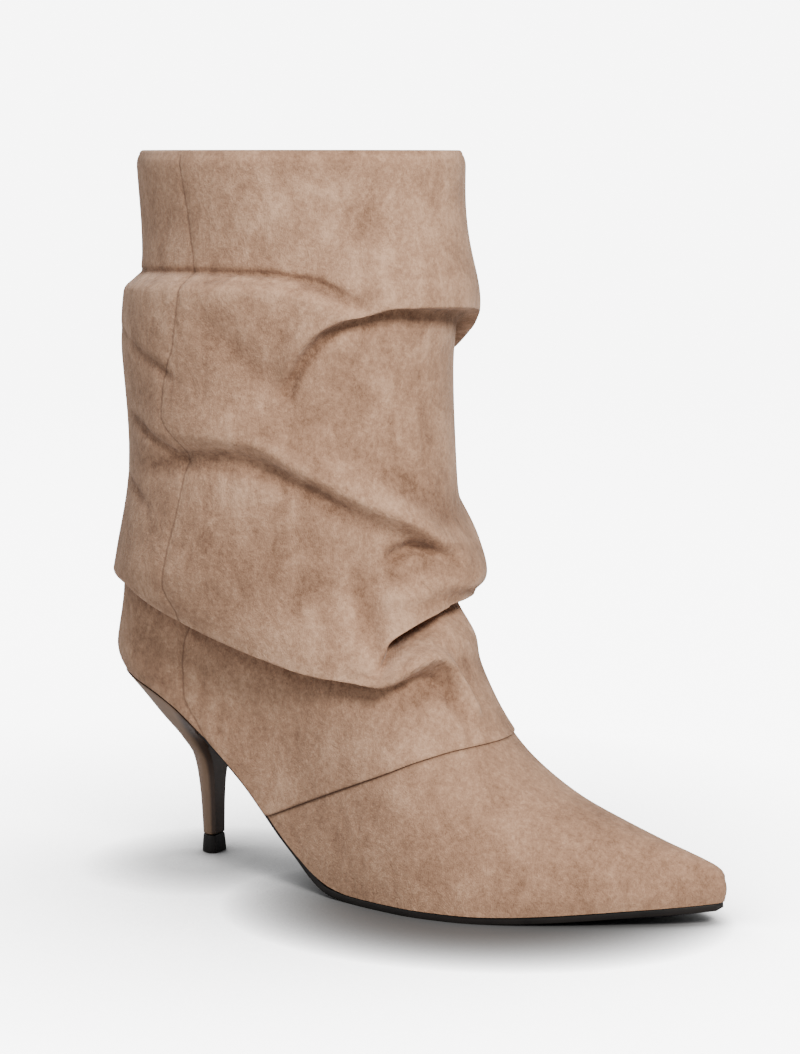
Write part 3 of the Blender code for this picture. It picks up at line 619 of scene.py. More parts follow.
class Form:
    """Surface of the boot, worked out from the sizes and tables as its solids are."""

    def __init__(self, size):
        self.size = size
        self.heel_back = -size.heel_setback
        self.toe_tip = size.shoe_length - size.heel_setback
        self.seam = size.sole + size.gap
        self.radius = (size.shaft_depth + size.shaft_width) / 4
        self.rows = self.ring_rows()
        back = np.hypot(np.diff(self.rows[:, 0]), np.diff(self.rows[:, 1]))
        front = np.hypot(np.diff(self.rows[:, 2]), np.diff(self.rows[:, 3]))
        keys = np.concatenate(([0.0], np.cumsum(back + front)))
        self.keys = keys / keys[-1]

    def ring_rows(self):
        """Back, front, half width, foot share and sag of each ring, in real sizes."""
        size = self.size
        toe_seam = self.seam + size.toe_spring
        rows = []
        for place, row in enumerate(FOOT_RINGS + SHAFT_RINGS):
            back_x, back_z, reach, front_z, width, foot, sag = row
            back = self.heel_back + back_x * size.shoe_length
            low = size.heel_height + back_z * (size.collar_height - size.heel_height)
            if place < len(FOOT_RINGS):
                front = self.heel_back + reach * size.shoe_length
                high = toe_seam + front_z * (size.instep_height - toe_seam)
            else:
                front = back + reach * size.shaft_depth
                high = size.instep_height + front_z * (size.collar_height - size.instep_height)
            rows.append((back, low, front, high, width * size.shaft_width / 2, foot, sag))
        return np.array(rows)

    def along(self, x):
        return (x - self.heel_back) / self.size.shoe_length

    def sides(self, along):
        turn = np.arccos(1 - 2 * np.clip(along, 0.0, 1.0))
        keys = np.arccos(1 - 2 * column(OUTLINE, 0))
        return [smooth_rows(keys, column(OUTLINE, place), turn) * self.size.ball_width
                for place in (1, 2)]

    def bottom(self, along):
        heel, toe = curves(BOTTOM_LINE, along)
        rise = self.size.heel_height - self.seam
        return self.seam + rise * heel + self.size.toe_spring * toe

    def ridge(self, x):
        """Height of the foot's top line."""
        last = self.keys[len(FOOT_RINGS) - 1]
        rings = np.linspace(self.keys[TOE_EDGE_ROW], last, SAMPLES)[::-1]
        xs = smooth_rows(self.keys, self.rows[:, 2], rings)
        zs = smooth_rows(self.keys, self.rows[:, 3], rings)
        slope = (zs[0] - zs[1]) / (xs[1] - xs[0])
        return np.where(x < xs[0], zs[0] + slope * (xs[0] - x), np.interp(x, xs, zs))

    def base(self, ring, angle):
        """Unfolded surface: ring from 0 at the sole to 1 at the collar, angle in radians."""
        back, low, front, high, half, foot, sag = [
            smooth_rows(self.keys, self.rows[:, place], ring) for place in range(7)]
        share = (1 - np.cos(angle)) / 2
        x = back + (front - back) * share
        overshoot = np.maximum(front - self.toe_tip, 0.0)
        flat_x = x - (back - self.heel_back) * (1 - share) - overshoot * share
        along = self.along(flat_x)
        bottom = self.bottom(along)
        heel_end = self.bottom(np.zeros_like(along))
        front_end = self.bottom(self.along(front - overshoot))
        chord = heel_end + (front_end - heel_end) * share
        z = low + (high - low) * share + sag * (bottom - chord)
        top = self.ridge(flat_x)
        rise = np.clip((z - bottom) / np.maximum(top - bottom, MM), 0.0, 1.0)
        arch = np.sqrt(np.clip(1 - rise ** ARCH_FULLNESS, TINY, 1.0))
        lateral, medial = self.sides(along)
        side = np.sin(angle)
        toe_line = np.where(share > 0.5, (lateral + medial) / 2, 0.0)
        edge = np.where(side >= 0, lateral, medial)
        reach = np.maximum(np.abs(edge - toe_line), TINY)
        blunt = np.maximum(reach, self.size.toe_half_width)
        nose = 1 / np.sqrt(1 / reach ** 2 + (1 / arch ** 2 - 1) / blunt ** 2)
        foot_y = toe_line + np.sign(edge - toe_line) * nose
        y = foot * foot_y - (1 - foot) * half * side
        return np.stack([x, y, z], axis=-1)

    def fold_shift(self, angle, height):
        """How far folds stand out and hang down."""
        out = np.zeros_like(height)
        down = np.zeros_like(height)
        for rows in FOLDS.values():
            keys = column(rows, 0)
            for turn in (-360.0, 0.0, 360.0):
                at = np.degrees(angle) + turn
                line, relief, up, below, droop = curves(rows, at)
                away = height - line * self.size.collar_height
                reach = np.where(away > 0, up, below) * self.size.shaft_width
                stand = relief * self.size.fold_relief * np.exp(-(away / reach) ** 2)
                stand = np.where((at >= keys[0]) & (at < keys[-1]), stand, 0.0)
                out += stand
                down += stand * droop
        return out, down

    def stroke_shift(self, angle, height):
        """Depth of the listed creases and ridges."""
        round_trip = 2 * math.pi * self.radius
        shift = np.zeros_like(height)
        for rows in STROKES.values():
            ways = np.radians(column(rows, 0)) * self.radius
            heights = column(rows, 1) * self.size.collar_height
            lowest = (ways[0] + ways[-1] - round_trip) / 2
            across = np.mod(angle * self.radius - lowest, round_trip) + lowest
            nearest = np.full(height.shape, np.inf)
            best = np.zeros_like(height)
            for step, ends in enumerate(zip(rows, rows[1:])):
                way = ways[step + 1] - ways[step]
                rise = heights[step + 1] - heights[step]
                aside = across - ways[step]
                above = height - heights[step]
                part = np.clip((aside * way + above * rise) / (way ** 2 + rise ** 2), 0.0, 1.0)
                aside = aside - part * way
                above = above - part * rise
                far = np.hypot(aside, above)
                depth, up, low = [first + (last - first) * soft_step(part)
                                  for first, last in zip(ends[0][2:], ends[1][2:])]
                reach = np.where(way * above > rise * aside, up, low) * self.size.shaft_width
                value = depth * self.size.fold_relief * np.exp(-(far / reach) ** 2)
                best = np.where(far < nearest, value, best)
                nearest = np.minimum(nearest, far)
            shift += best
        return shift

    def outward(self, ring, angle):
        ahead = self.base(ring, angle + TURN) - self.base(ring, angle - TURN)
        normal = np.stack([ahead[..., 1], -ahead[..., 0], np.zeros(ahead.shape[:-1])], axis=-1)
        return normal / np.maximum(np.linalg.norm(normal, axis=-1, keepdims=True), TINY * MM)

    def skin(self, ring, angle, stand, folded=True):
        """Points that stand off the surface, and its relief. A lining only gives way to creases."""
        base = self.base(ring, angle)
        out, down = self.fold_shift(angle, base[..., 2])
        relief = out + self.stroke_shift(angle, base[..., 2])
        pushed = relief if folded else np.minimum(relief, 0.0)
        points = base + self.outward(ring, angle) * (pushed + stand)[..., None]
        if folded:
            points[..., 2] -= down
        return points, relief

    def seam_ring(self, angle):
        """Ring at which the shaft panel's edge crosses each angle."""
        samples = np.linspace(0.0, SEAM_SEARCH, SAMPLES * 2)
        found = np.zeros_like(angle)
        for place, turn in enumerate(angle):
            base = self.base(samples, turn)
            line, = curves(SEAM_LINE, self.along(base[:, 0]))
            over = base[:, 2] - line * self.size.instep_height
            high = np.nonzero(over > 0)[0][0]
            if high > 0:
                part = -over[high - 1] / (over[high] - over[high - 1])
                found[place] = samples[high - 1] + part * (samples[high] - samples[high - 1])
        return found

    def followed(self, share, angle, start):
        """Rings for shares of the way from start to the collar, along the main folds."""
        samples = np.linspace(0.0, 1.0, SAMPLES)
        rings = np.empty((len(share), len(angle)))
        for place, turn in enumerate(angle):
            height = self.base(samples, turn)[:, 2]
            wanted = np.array(curves(RING_LINES, math.degrees(turn) % 360))
            lines = np.interp(wanted * self.size.collar_height, height, samples)
            stops = np.concatenate([[start[place]], lines, [1.0]])
            rings[:, place] = np.interp(share, ROW_SHARES, stops)
        return rings


def gathered(count, stops, gather):
    """Shares from 0 to 1 that crowd at the stops."""
    even = np.linspace(0.0, 1.0, count)
    stops = np.asarray(stops)
    cell = np.clip(np.searchsorted(stops, even, side="right") - 1, 0, len(stops) - 2)
    span = stops[cell + 1] - stops[cell]
    part = (even - stops[cell]) / span
    crowd = part - gather * np.sin(2 * math.pi * part) / (2 * math.pi)
    return stops[cell] + crowd * span


def deselect():
    if bpy.context.object and bpy.context.object.mode != "OBJECT":
        bpy.ops.object.mode_set(mode="OBJECT")
    bpy.ops.object.select_all(action="DESELECT")


def pick(piece):
    """Makes a piece the only one that is selected, and the active one."""
    deselect()
    piece.select_set(True)
    bpy.context.view_layer.objects.active = piece


def laid_grid(name, points):
    """A grid added at the origin and laid over rows of points."""
    rows, columns = points.shape[:2]
    deselect()
    bpy.ops.mesh.primitive_grid_add(x_subdivisions=columns - 1, y_subdivisions=rows - 1, size=2)
    piece = bpy.context.object
    piece.name = name
    piece.data.name = name
    flat = np.empty(len(piece.data.vertices) * 3)
    piece.data.vertices.foreach_get("co", flat)
    flat = flat.reshape(-1, 3).round(5)
    order = np.lexsort((flat[:, 0], flat[:, 1]))
    placed = np.empty_like(flat)
    placed[order] = points.reshape(-1, 3)
    piece.data.vertices.foreach_set("co", placed.ravel())
    return piece, order


def mark(piece, order, name, values):
    """A value for each point, for the materials to read."""
    layer = piece.data.attributes.new(name, "FLOAT", "POINT")
    stored = np.empty(len(order), dtype=np.float32)
    stored[order] = values.ravel()
    layer.data.foreach_set("value", stored)


def edit(piece, *calls):
    """Edit mode on the whole piece, for calls that act on what is selected."""
    pick(piece)
    bpy.ops.object.mode_set(mode="EDIT")
    bpy.ops.mesh.select_all(action="SELECT")
    for call in calls:
        call()
    bpy.ops.object.mode_set(mode="OBJECT")


def join_doubles():
    bpy.ops.mesh.remove_doubles(threshold=TINY)


def turn_out():
    bpy.ops.mesh.normals_make_consistent(inside=False)


def fill_ends():
    bpy.ops.mesh.select_all(action="DESELECT")
    bpy.ops.mesh.select_mode(type="EDGE")
    bpy.ops.mesh.select_non_manifold(extend=False, use_wire=False, use_boundary=True,
                                     use_multi_face=False, use_non_contiguous=False,
                                     use_verts=False)
    bpy.ops.mesh.fill_holes(sides=0)
    bpy.ops.mesh.select_all(action="SELECT")


def modify(piece, kind, **settings):
    """Adds a modifier and applies it."""
    pick(piece)
    modifier = piece.modifiers.new(kind.lower(), kind)
    for key, value in settings.items():
        setattr(modifier, key, value)
    bpy.ops.object.modifier_apply(modifier=modifier.name)


def round_edges(piece, width):
    modify(piece, "BEVEL", width=width, segments=3, limit_method="ANGLE",
           angle_limit=BEVEL_ANGLE)


def smooth(piece, degrees):
    pick(piece)
    bpy.ops.object.shade_smooth_by_angle(angle=math.radians(degrees))


def hand_over(piece, slot, material, *nodes):
    """Gives a finished piece its material, its body, and the solids it stands for."""
    piece.data.materials.clear()
    piece.data.materials.append(material)
    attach(piece, "root")
    if nodes:
        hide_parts(*nodes)


def group_of(name, inputs, outputs):
    """A shader node group with named sockets, and its two ends."""
    tree = bpy.data.node_groups.new(name, "ShaderNodeTree")
    for label, kind, default in inputs:
        socket = tree.interface.new_socket(name=label, in_out="INPUT", socket_type=kind)
        socket.default_value = default
    for label, kind in outputs:
        tree.interface.new_socket(name=label, in_out="OUTPUT", socket_type=kind)
    return tree, tree.nodes.new("NodeGroupInput"), tree.nodes.new("NodeGroupOutput")


def node(tree, kind, links=None, **settings):
    """A node with its settings, and links or values for its inputs."""
    made = tree.nodes.new(kind)
    for key, value in settings.items():
        setattr(made, key, value)
    for key, value in (links or {}).items():
        if isinstance(value, bpy.types.NodeSocket):
            tree.links.new(value, made.inputs[key])
        else:
            made.inputs[key].default_value = value
    return made


def noise(tree, where, scale, detail, roughness=0.55, distortion=0.0):
    return node(tree, "ShaderNodeTexNoise", {
        "Vector": where, "Scale": scale, "Detail": detail, "Roughness": roughness,
        "Distortion": distortion}).outputs["Fac"]


def ranged(tree, value, low, high, to_low=0.0, to_high=1.0):
    return node(tree, "ShaderNodeMapRange", {
        "Value": value, "From Min": low, "From Max": high, "To Min": to_low,
        "To Max": to_high}).outputs["Result"]


def maths(tree, kind, *values):
    return node(tree, "ShaderNodeMath", dict(enumerate(values)), operation=kind).outputs[0]


def product(tree, first, second):
    return maths(tree, "MULTIPLY", first, second)


def total(tree, *values):
    result = values[0]
    for value in values[1:]:
        result = maths(tree, "ADD", result, value)
    return result


def mixed(tree, share, first, second):
    return node(tree, "ShaderNodeMix", {0: share, 6: first, 7: second},
                data_type="RGBA").outputs[2]


def stretched(tree, where, turn, scale):
    return node(tree, "ShaderNodeMapping", {
        "Vector": where, "Rotation": turn, "Scale": scale}).outputs["Vector"]


def object_place(tree):
    return node(tree, "ShaderNodeTexCoord").outputs["Object"]


def marked(tree, name):
    """What mark() stored under a name."""
    return node(tree, "ShaderNodeAttribute", attribute_name=name).outputs["Fac"]


def nap_group():
    """Brushed nap: soft patches, brush strokes and fine fuzz, as a colour and a height."""
    tree, start, end = group_of("brushed_nap", (
        *[(label, "NodeSocketColor", tint((1.0, 1.0, 1.0))) for label in NAP_COLOURS],
        ("Crest", "NodeSocketFloat", 0.0),
        ("Stitched", "NodeSocketFloat", 0.0),
        ("Patches", "NodeSocketFloat", 1.0)), (
        ("Color", "NodeSocketColor"), ("Height", "NodeSocketFloat"),
        ("Roughness", "NodeSocketFloat")))
    where = object_place(tree)
    lies = {lie: stretched(tree, where, *laid) for lie, laid in NAP_LIES.items()}
    lies["even"] = where
    tones = {True: [], False: []}
    heights = []
    for lie, scale, detail, rough, bend, low, high, tone, height, patchy in NAP_LAYERS:
        layer = noise(tree, lies[lie], scale, detail, rough, bend)
        tones[patchy].append(ranged(tree, layer, low, high, -tone, tone))
        if height > 0:
            heights.append(product(tree, layer, height))
    patches = product(tree, total(tree, *tones[True]), start.outputs["Patches"])
    # painted highlight and painted shade from the mesh's tone mark join the nap's tone
    crest = product(tree, start.outputs["Crest"], TONE_AND_LIGHT_SHARE)
    tone = total(tree, patches, *tones[False], crest)
    lighter = ranged(tree, tone, 0.0, 1.0)
    darker = ranged(tree, tone, 0.0, -1.0)
    cloth = mixed(tree, lighter, start.outputs["Middle"], start.outputs["Light"])
    cloth = mixed(tree, darker, cloth, start.outputs["Dark"])
    # painted shade of cut edges, and the strip seam's sewn line
    cloth = mixed(tree, start.outputs["Stitched"], cloth, start.outputs["Seam"])
    tree.links.new(cloth, end.inputs["Color"])
    tree.links.new(total(tree, *heights), end.inputs["Height"])
    tree.links.new(ranged(tree, tone, -1.0, 1.0, *NAP_ROUGHNESS), end.inputs["Roughness"])
    return tree


def grain_group():
    """Fine leather or moulded grain with a little soiling: a mask and a height."""
    tree, start, end = group_of("fine_grain", (("Size", "NodeSocketFloat", 600.0),), (
        ("Mask", "NodeSocketFloat"), ("Height", "NodeSocketFloat")))
    where = object_place(tree)
    cells = node(tree, "ShaderNodeTexVoronoi", {
        "Vector": where, "Scale": start.outputs["Size"]}, feature="SMOOTH_F1").outputs["Distance"]
    soft = noise(tree, where, start.outputs["Size"], detail=3.0)
    height = total(tree, product(tree, cells, GRAIN_SHARES[0]),
                   product(tree, soft, GRAIN_SHARES[1]))
    soil = noise(tree, where, SOILING_SCALE, detail=5.0, roughness=0.6, distortion=0.8)
    tree.links.new(ranged(tree, soil, *SOILING_SPREAD), end.inputs["Mask"])
    tree.links.new(height, end.inputs["Height"])
    return tree


def material_of(name, **values):
    """A material with its Principled shader's plain values set."""
    material = bpy.data.materials.new(name)
    material.use_nodes = True
    shader = material.node_tree.nodes["Principled BSDF"]
    for key, value in values.items():
        label = key.replace("_", " ").title().replace("Ior", "IOR")
        shader.inputs[label].default_value = value
    return material, material.node_tree, shader


def tint(rgb):
    return (rgb[0], rgb[1], rgb[2], 1.0)


def bump(tree, shader, height, strength, distance):
    made = node(tree, "ShaderNodeBump", {
        "Height": height, "Strength": strength, "Distance": distance})
    tree.links.new(made.outputs["Normal"], shader.inputs["Normal"])


def suede_finish(name, patches=1.0):
    """Taupe suede with the nap brushed both ways."""
    colours = bpy.context.scene.boot_colours
    material, tree, shader = material_of(name, sheen_weight=0.22, sheen_roughness=0.45,
                                         sheen_tint=(1.0, 0.86, 0.76, 1.0),
                                         specular_ior_level=0.18)
    beside = maths(tree, "ABSOLUTE", marked(tree, "beside"))
    line = ranged(tree, beside, *STRIP_LINE, STRIP_DARKNESS, 0.0)
    nap = node(tree, "ShaderNodeGroup", node_tree=bpy.data.node_groups.get("brushed_nap") or nap_group())
    for label, name in NAP_COLOURS.items():
        nap.inputs[label].default_value = tint(getattr(colours, name))
    nap.inputs["Patches"].default_value = patches
    # tone mark with the painted highlight and painted shade of the folds
    tree.links.new(marked(tree, "crest"), nap.inputs["Crest"])
    # painted shade of cut edges joins the strip seam's sewn line
    tree.links.new(maths(tree, "MAXIMUM", marked(tree, "stitched"), line), nap.inputs["Stitched"])
    tree.links.new(nap.outputs["Color"], shader.inputs["Base Color"])
    tree.links.new(nap.outputs["Roughness"], shader.inputs["Roughness"])
    bump(tree, shader, nap.outputs["Height"], strength=0.75, distance=0.0006)
    return material


def grained_finish(name):
    """Leather, rubber or lacquer: two close colours, fine grain and soiling in the gloss."""
    first, second, brightness, grain, depth, smoothest, roughest, others = GRAINED[name]
    colours = bpy.context.scene.boot_colours
    worn = tint([min(1.0, value * brightness) for value in getattr(colours, second)])
    material, tree, shader = material_of(name, **others)
    grains = node(tree, "ShaderNodeGroup",
                  node_tree=bpy.data.node_groups.get("fine_grain") or grain_group())
    grains.inputs["Size"].default_value = grain
    mask = grains.outputs["Mask"]
    tree.links.new(mixed(tree, mask, tint(getattr(colours, first)), worn),
                   shader.inputs["Base Color"])
    tree.links.new(ranged(tree, mask, 0.0, 1.0, smoothest, roughest), shader.inputs["Roughness"])
    bump(tree, shader, grains.outputs["Height"], strength=0.4, distance=depth)
    return material


def heel_finish():
    """Taupe lacquer under a thin clear coat, with painted shade on the breast."""
    material = grained_finish("heel_lacquer")
    tree = material.node_tree
    base = tree.nodes["Principled BSDF"].inputs["Base Color"]
    painted_breast_shade = tint(bpy.context.scene.boot_colours.breast)
    tree.links.new(mixed(tree, marked(tree, "breast"), base.links[0].from_socket, painted_breast_shade), base)
    return material


class BootStep:
    """What the steps that build a piece share."""
    bl_options = {"REGISTER", "UNDO"}
    around = 320

    def turns(self):
        return np.linspace(0.0, 2 * math.pi, self.around + 1)


class BOOT_OT_shaft(BootStep, Operator):
    """Builds the suede shaft panel with its folds, rolled collar and inside facing"""
    bl_idname = "boot.shaft"
    bl_label = "Shaft panel"

    body_rows = 262
    gather = 0.55
    rim_rows = 7
    rim_room = 1.2
    rim_tuck = 4.4 * MM
    rim_reach = 6.8 * MM
    rim_roundness = 0.98
    facing_rows = 12
    # Cut edge over the vamp: rings past the seam, and stand in shares of the lap
    edge_rings = (0.0, 0.0, 0.0, 0.0, 0.0012, 0.003)
    edge_stands = (-4.0, -0.4, 0.35, 0.75, 0.97, 1.0)
    # Darkest painted shade along the cut edge
    cut_edge_shade_limit = 0.7
    # Strip seam: a groove that puckers along its length, with darker suede behind it
    groove_width = 1.1 * MM
    groove_depth = 0.32 * MM
    pucker = 0.4
    pucker_length = 3.2 * MM
    strip_tone = -0.22
    # Painted highlight on crests and painted shade in hollows: relief that counts in full, and reach of
    # the blur in rows and columns
    crest_relief = 0.8 * MM
    highlight_and_shade_tones = (0.5, 0.95)
    blur_rows = 9
    blur_columns = 7
    # Painted highlight at the collar's edge
    collar_rows = 4
    collar_highlight = 0.12

    def execute(self, context):
        form = Form(context.scene.boot_sizes)
        angle = self.turns()
        half = (form.size.lap + form.size.wall) / 2
        top = np.full((1, len(angle)), 1 - self.rim_room * half / form.size.collar_height)
        body, marks = self.body(form, angle, top[0, 0])
        points = np.concatenate([body, self.rim(form, angle, top, half),
                                 self.facing(form, angle, top)])
        rest = np.zeros((len(points) - len(body), len(angle)))
        piece, order = laid_grid("suede_shaft", points)
        for name, values, plain in zip(("crest", "stitched", "beside"), marks, (0, 0, NO_STRIP)):
            mark(piece, order, name, np.concatenate([values, rest + plain]))
        edit(piece, join_doubles)
        smooth(piece, degrees=60)
        hand_over(piece, "suede", suede_finish("suede"), "upper")
        return {"FINISHED"}

    def body(self, form, angle, highest):
        """Outside of the panel from its cut edge up, its tone with painted highlight and painted shade,
        the painted shade of its cut edge, and the strip seam.
        """
        lap = form.size.lap
        start = form.seam_ring(angle)
        share = gathered(self.body_rows, ROW_SHARES, self.gather)
        rings = form.followed(share, angle, start)
        rings = start + (rings - start) * (highest - start) / (1 - start)
        edge = [start + step for step in self.edge_rings]
        ring = np.concatenate([edge, rings[1:] + self.edge_rings[-1] * (1 - share[1:, None])])
        stand = np.concatenate([np.array(self.edge_stands) * lap, np.full(len(share) - 1, lap)])
        points, relief = form.skin(ring, angle, stand[:, None])
        base = form.base(ring, angle)
        beside = self.beside_strip(form, angle, base)
        groove = self.groove_depth * np.exp(-(beside / self.groove_width) ** 2)
        groove *= 1 + self.pucker * np.sin(base[..., 2] / self.pucker_length * 2 * math.pi)
        inward = groove + self.tuck(form, ring)
        points -= form.outward(ring, angle) * inward[..., None]
        # painted shade along the cut edge where it turns under
        cut_edge_shade = np.clip(1 - stand / lap, 0, self.cut_edge_shade_limit)[:, None] + np.zeros_like(ring)
        # painted highlight and painted shade from the relief, the listed patches and the collar's edge,
        # and the darker strip behind the seam
        crest = self.painted_relief_light(relief) + self.strip_tone * soft_step(-beside / MM)
        crest += self.patches(angle, base[..., 2] / form.size.collar_height)
        crest[-self.collar_rows:] += self.collar_highlight
        return points, (crest, cut_edge_shade, beside / MM)

    def beside_strip(self, form, angle, base):
        """Distance from the strip seam, below nought behind it."""
        degrees = np.degrees(angle)
        height = base[..., 2] / form.size.collar_height
        seam, = curves(STRIP_SEAM, height)
        return np.radians(np.minimum(degrees, 360 - degrees) - seam) * form.radius

    def patches(self, angle, height):
        """Tone of the listed patches: painted highlight and painted shade."""
        tones = np.zeros_like(height)
        for middle, level, wide, tall, tone in PAINTED_LIGHT_PATCHES:
            across = (np.mod(np.degrees(angle) - middle + 180, 360) - 180) / wide
            tones += tone * np.exp(-across ** 2 - ((height - level) / tall) ** 2)
        return tones

    def painted_relief_light(self, relief):
        """Painted highlight where the relief stands out from the mean of its neighbours, and painted
        shade where it lies in.
        """
        rows = np.arange(len(relief))
        mean = sum(relief[np.clip(rows + step, 0, rows[-1])]
                   for step in range(-self.blur_rows, self.blur_rows + 1))
        mean = mean / (2 * self.blur_rows + 1)
        mean = sum(np.roll(mean, step, axis=1)
                   for step in range(-self.blur_columns, self.blur_columns + 1))
        mean = mean / (2 * self.blur_columns + 1)
        crest = np.clip((relief - mean) / self.crest_relief, -1, 1)
        return crest * np.where(crest > 0, *self.highlight_and_shade_tones)

    def tuck(self, form, ring):
        """How far the collar draws in towards its rim."""
        down = (1 - ring) * form.size.collar_height
        way = np.clip(1 - down / self.rim_reach, 0.0, 1.0)
        return self.rim_tuck * (1 - np.sqrt(1 - way ** 2 * self.rim_roundness))

    def rim(self, form, angle, top, half):
        """Half round rows over the collar's rim."""
        edge, _ = form.skin(top, angle, -self.tuck(form, top))
        face = form.outward(top, angle)
        rows = []
        for roll in np.linspace(0.0, math.pi, self.rim_rows + 1)[1:]:
            row = edge + face * (form.size.lap - half + half * math.cos(roll))
            row[..., 2] += half * math.sin(roll)
            rows.append(row)
        return np.concatenate(rows)

    def facing(self, form, angle, top):
        """Rows of suede turned down inside the collar."""
        rows = []
        for depth in np.linspace(0.0, form.size.facing, self.facing_rows + 1)[1:]:
            ring = top - depth / form.size.collar_height * RINGS_PER_RISE
            rows.append(form.skin(ring, angle, -form.size.wall)[0])
        return np.concatenate(rows)


class BOOT_OT_vamp(BootStep, Operator):
    """Builds the suede vamp from the sole to under the shaft panel's edge"""
    bl_idname = "boot.vamp"
    bl_label = "Vamp"

    rows = 120
    under_panel = 0.012
    # Stand in mm of the rows that turn in over the sole
    turned_in = (-5.5, -3.0, -0.9, -0.35, -0.1)
    # Painted shade along the panel's edge and under it: its reach in rings, and its darkness
    seam_reach = 0.0035
    panel_edge_shade = 0.85
    tone = -0.16
    patches = 0.8

    def execute(self, context):
        form = Form(context.scene.boot_sizes)
        angle = self.turns()
        start = form.seam_ring(angle)
        fore = np.nonzero(start > 0)[0]
        fore = slice(fore[0] - 1, fore[-1] + 2)
        angle = angle[fore]
        start = start[fore]
        ring = np.linspace(0.0, 1.0, self.rows)[:, None] * (start + self.under_panel)
        ring = np.concatenate([np.zeros((len(self.turned_in), len(angle))), ring])
        stand = np.concatenate([self.turned_in, np.zeros(self.rows)]) * MM
        points, _ = form.skin(ring, angle, stand[:, None])
        # painted shade along the panel's edge, in full where the panel laps over the vamp
        away = start - ring
        cut_edge_shade = np.clip(1 - np.abs(away) / self.seam_reach, 0, 1)
        cut_edge_shade = np.where(away < 0, 1.0, cut_edge_shade) * self.panel_edge_shade
        piece, order = laid_grid("suede_vamp", points)
        mark(piece, order, "crest", np.full(ring.shape, self.tone))
        mark(piece, order, "stitched", cut_edge_shade)
        mark(piece, order, "beside", np.full(ring.shape, NO_STRIP))
        smooth(piece, degrees=60)
        hand_over(piece, "suede", suede_finish("vamp_suede", self.patches), "upper")
        return {"FINISHED"}


class BOOT_OT_lining(BootStep, Operator):
    """Builds the leather lining inside the shaft and foot"""
    bl_idname = "boot.lining"
    bl_label = "Lining"

    around = 200
    rows = 160
    thickness = 0.5 * MM
    under_facing = 3 * MM
    lowest = 0.004
    # Slack below the facing, and the rings over which it comes
    slack = 2.0 * MM
    slack_rings = 0.08

    def execute(self, context):
        form = Form(context.scene.boot_sizes)
        size = form.size
        top = 1 - (size.facing - self.under_facing) / size.collar_height * RINGS_PER_RISE
        angle = self.turns()
        ring = np.linspace(top, self.lowest, self.rows)[:, None] + 0 * angle
        loose = self.slack * soft_step((top - ring) / self.slack_rings)
        points, _ = form.skin(ring, angle, -size.wall - size.lap - loose, folded=False)
        piece, _ = laid_grid("lining", points)
        edit(piece, join_doubles)
        modify(piece, "SOLIDIFY", thickness=self.thickness, offset=1.0)
        smooth(piece, degrees=60)
        hand_over(piece, "insole_leather", grained_finish("lining_leather"))
        return {"FINISHED"}


class BOOT_OT_soles(BootStep, Operator):
    """Builds the black outsole and the insole"""
    bl_idname = "boot.soles"
    bl_label = "Outsole and insole"

    columns = 15
    stations = 150
    insole_stations = 120
    # Outsole's inset from the upper: at the forefoot, and at the waist behind a share of the length
    inset = 0.4 * MM
    waist_inset = 4.8 * MM
    waist_end = 0.46
    waist_fade = 0.1
    rounding = 0.55 * MM
    insole_rounding = 0.5 * MM
    # Room at toe and heel, in insets
    toe_room = 4
    heel_room = 5

    def execute(self, context):
        form = Form(context.scene.boot_sizes)
        size = form.size
        first = BREAST_ALONG + size.gap / size.shoe_length
        last = 1 - self.toe_room * self.inset / size.shoe_length
        share = self.spaced(first, last, self.stations)
        waist = soft_step((self.waist_end - share) / self.waist_fade)
        inset = self.inset + (self.waist_inset - self.inset) * waist
        top = form.bottom(share) - size.gap
        outsole = self.sheet(form, "outsole_black", share, top, size.sole, inset, self.rounding)
        hand_over(outsole, "sole_rubber", grained_finish("sole_black"), "outsole")
        inset = size.wall + size.lap + size.gap
        first = self.heel_room * inset / size.shoe_length
        last = 1 - self.toe_room * inset / size.shoe_length
        share = self.spaced(first, last, self.insole_stations)
        top = form.bottom(share) + size.insole
        insole = self.sheet(form, "insole_pad", share, top, size.insole, inset,
                            self.insole_rounding)
        hand_over(insole, "insole_leather", grained_finish("insole_leather"), "insole")
        return {"FINISHED"}

    def spaced(self, first, last, count):
        """Shares of the length that crowd at heel and toe."""
        ends = [math.acos(1 - 2 * share) for share in (first, last)]
        return (1 - np.cos(np.linspace(*ends, count))) / 2

    def sheet(self, form, name, share, top, thickness, inset, rounding):
        """A bent sheet with the sole's outline and rounded edges."""
        lateral, medial = form.sides(share)
        across = np.linspace(0.0, 1.0, self.columns)
        left = (lateral + inset)[:, None]
        right = (medial - inset)[:, None]
        y = left + (right - left) * across
        x = (form.heel_back + share * form.size.shoe_length)[:, None] + 0 * across
        z = top[:, None] + 0 * across
        piece, _ = laid_grid(name, np.stack([x, y, z], axis=-1)[:, ::-1])
        edit(piece, turn_out)
        if piece.data.polygons[0].normal.z < 0:
            edit(piece, bpy.ops.mesh.flip_normals)
        modify(piece, "SOLIDIFY", thickness=thickness, offset=-1.0)
        round_edges(piece, rounding)
        smooth(piece, degrees=35)
        return piece


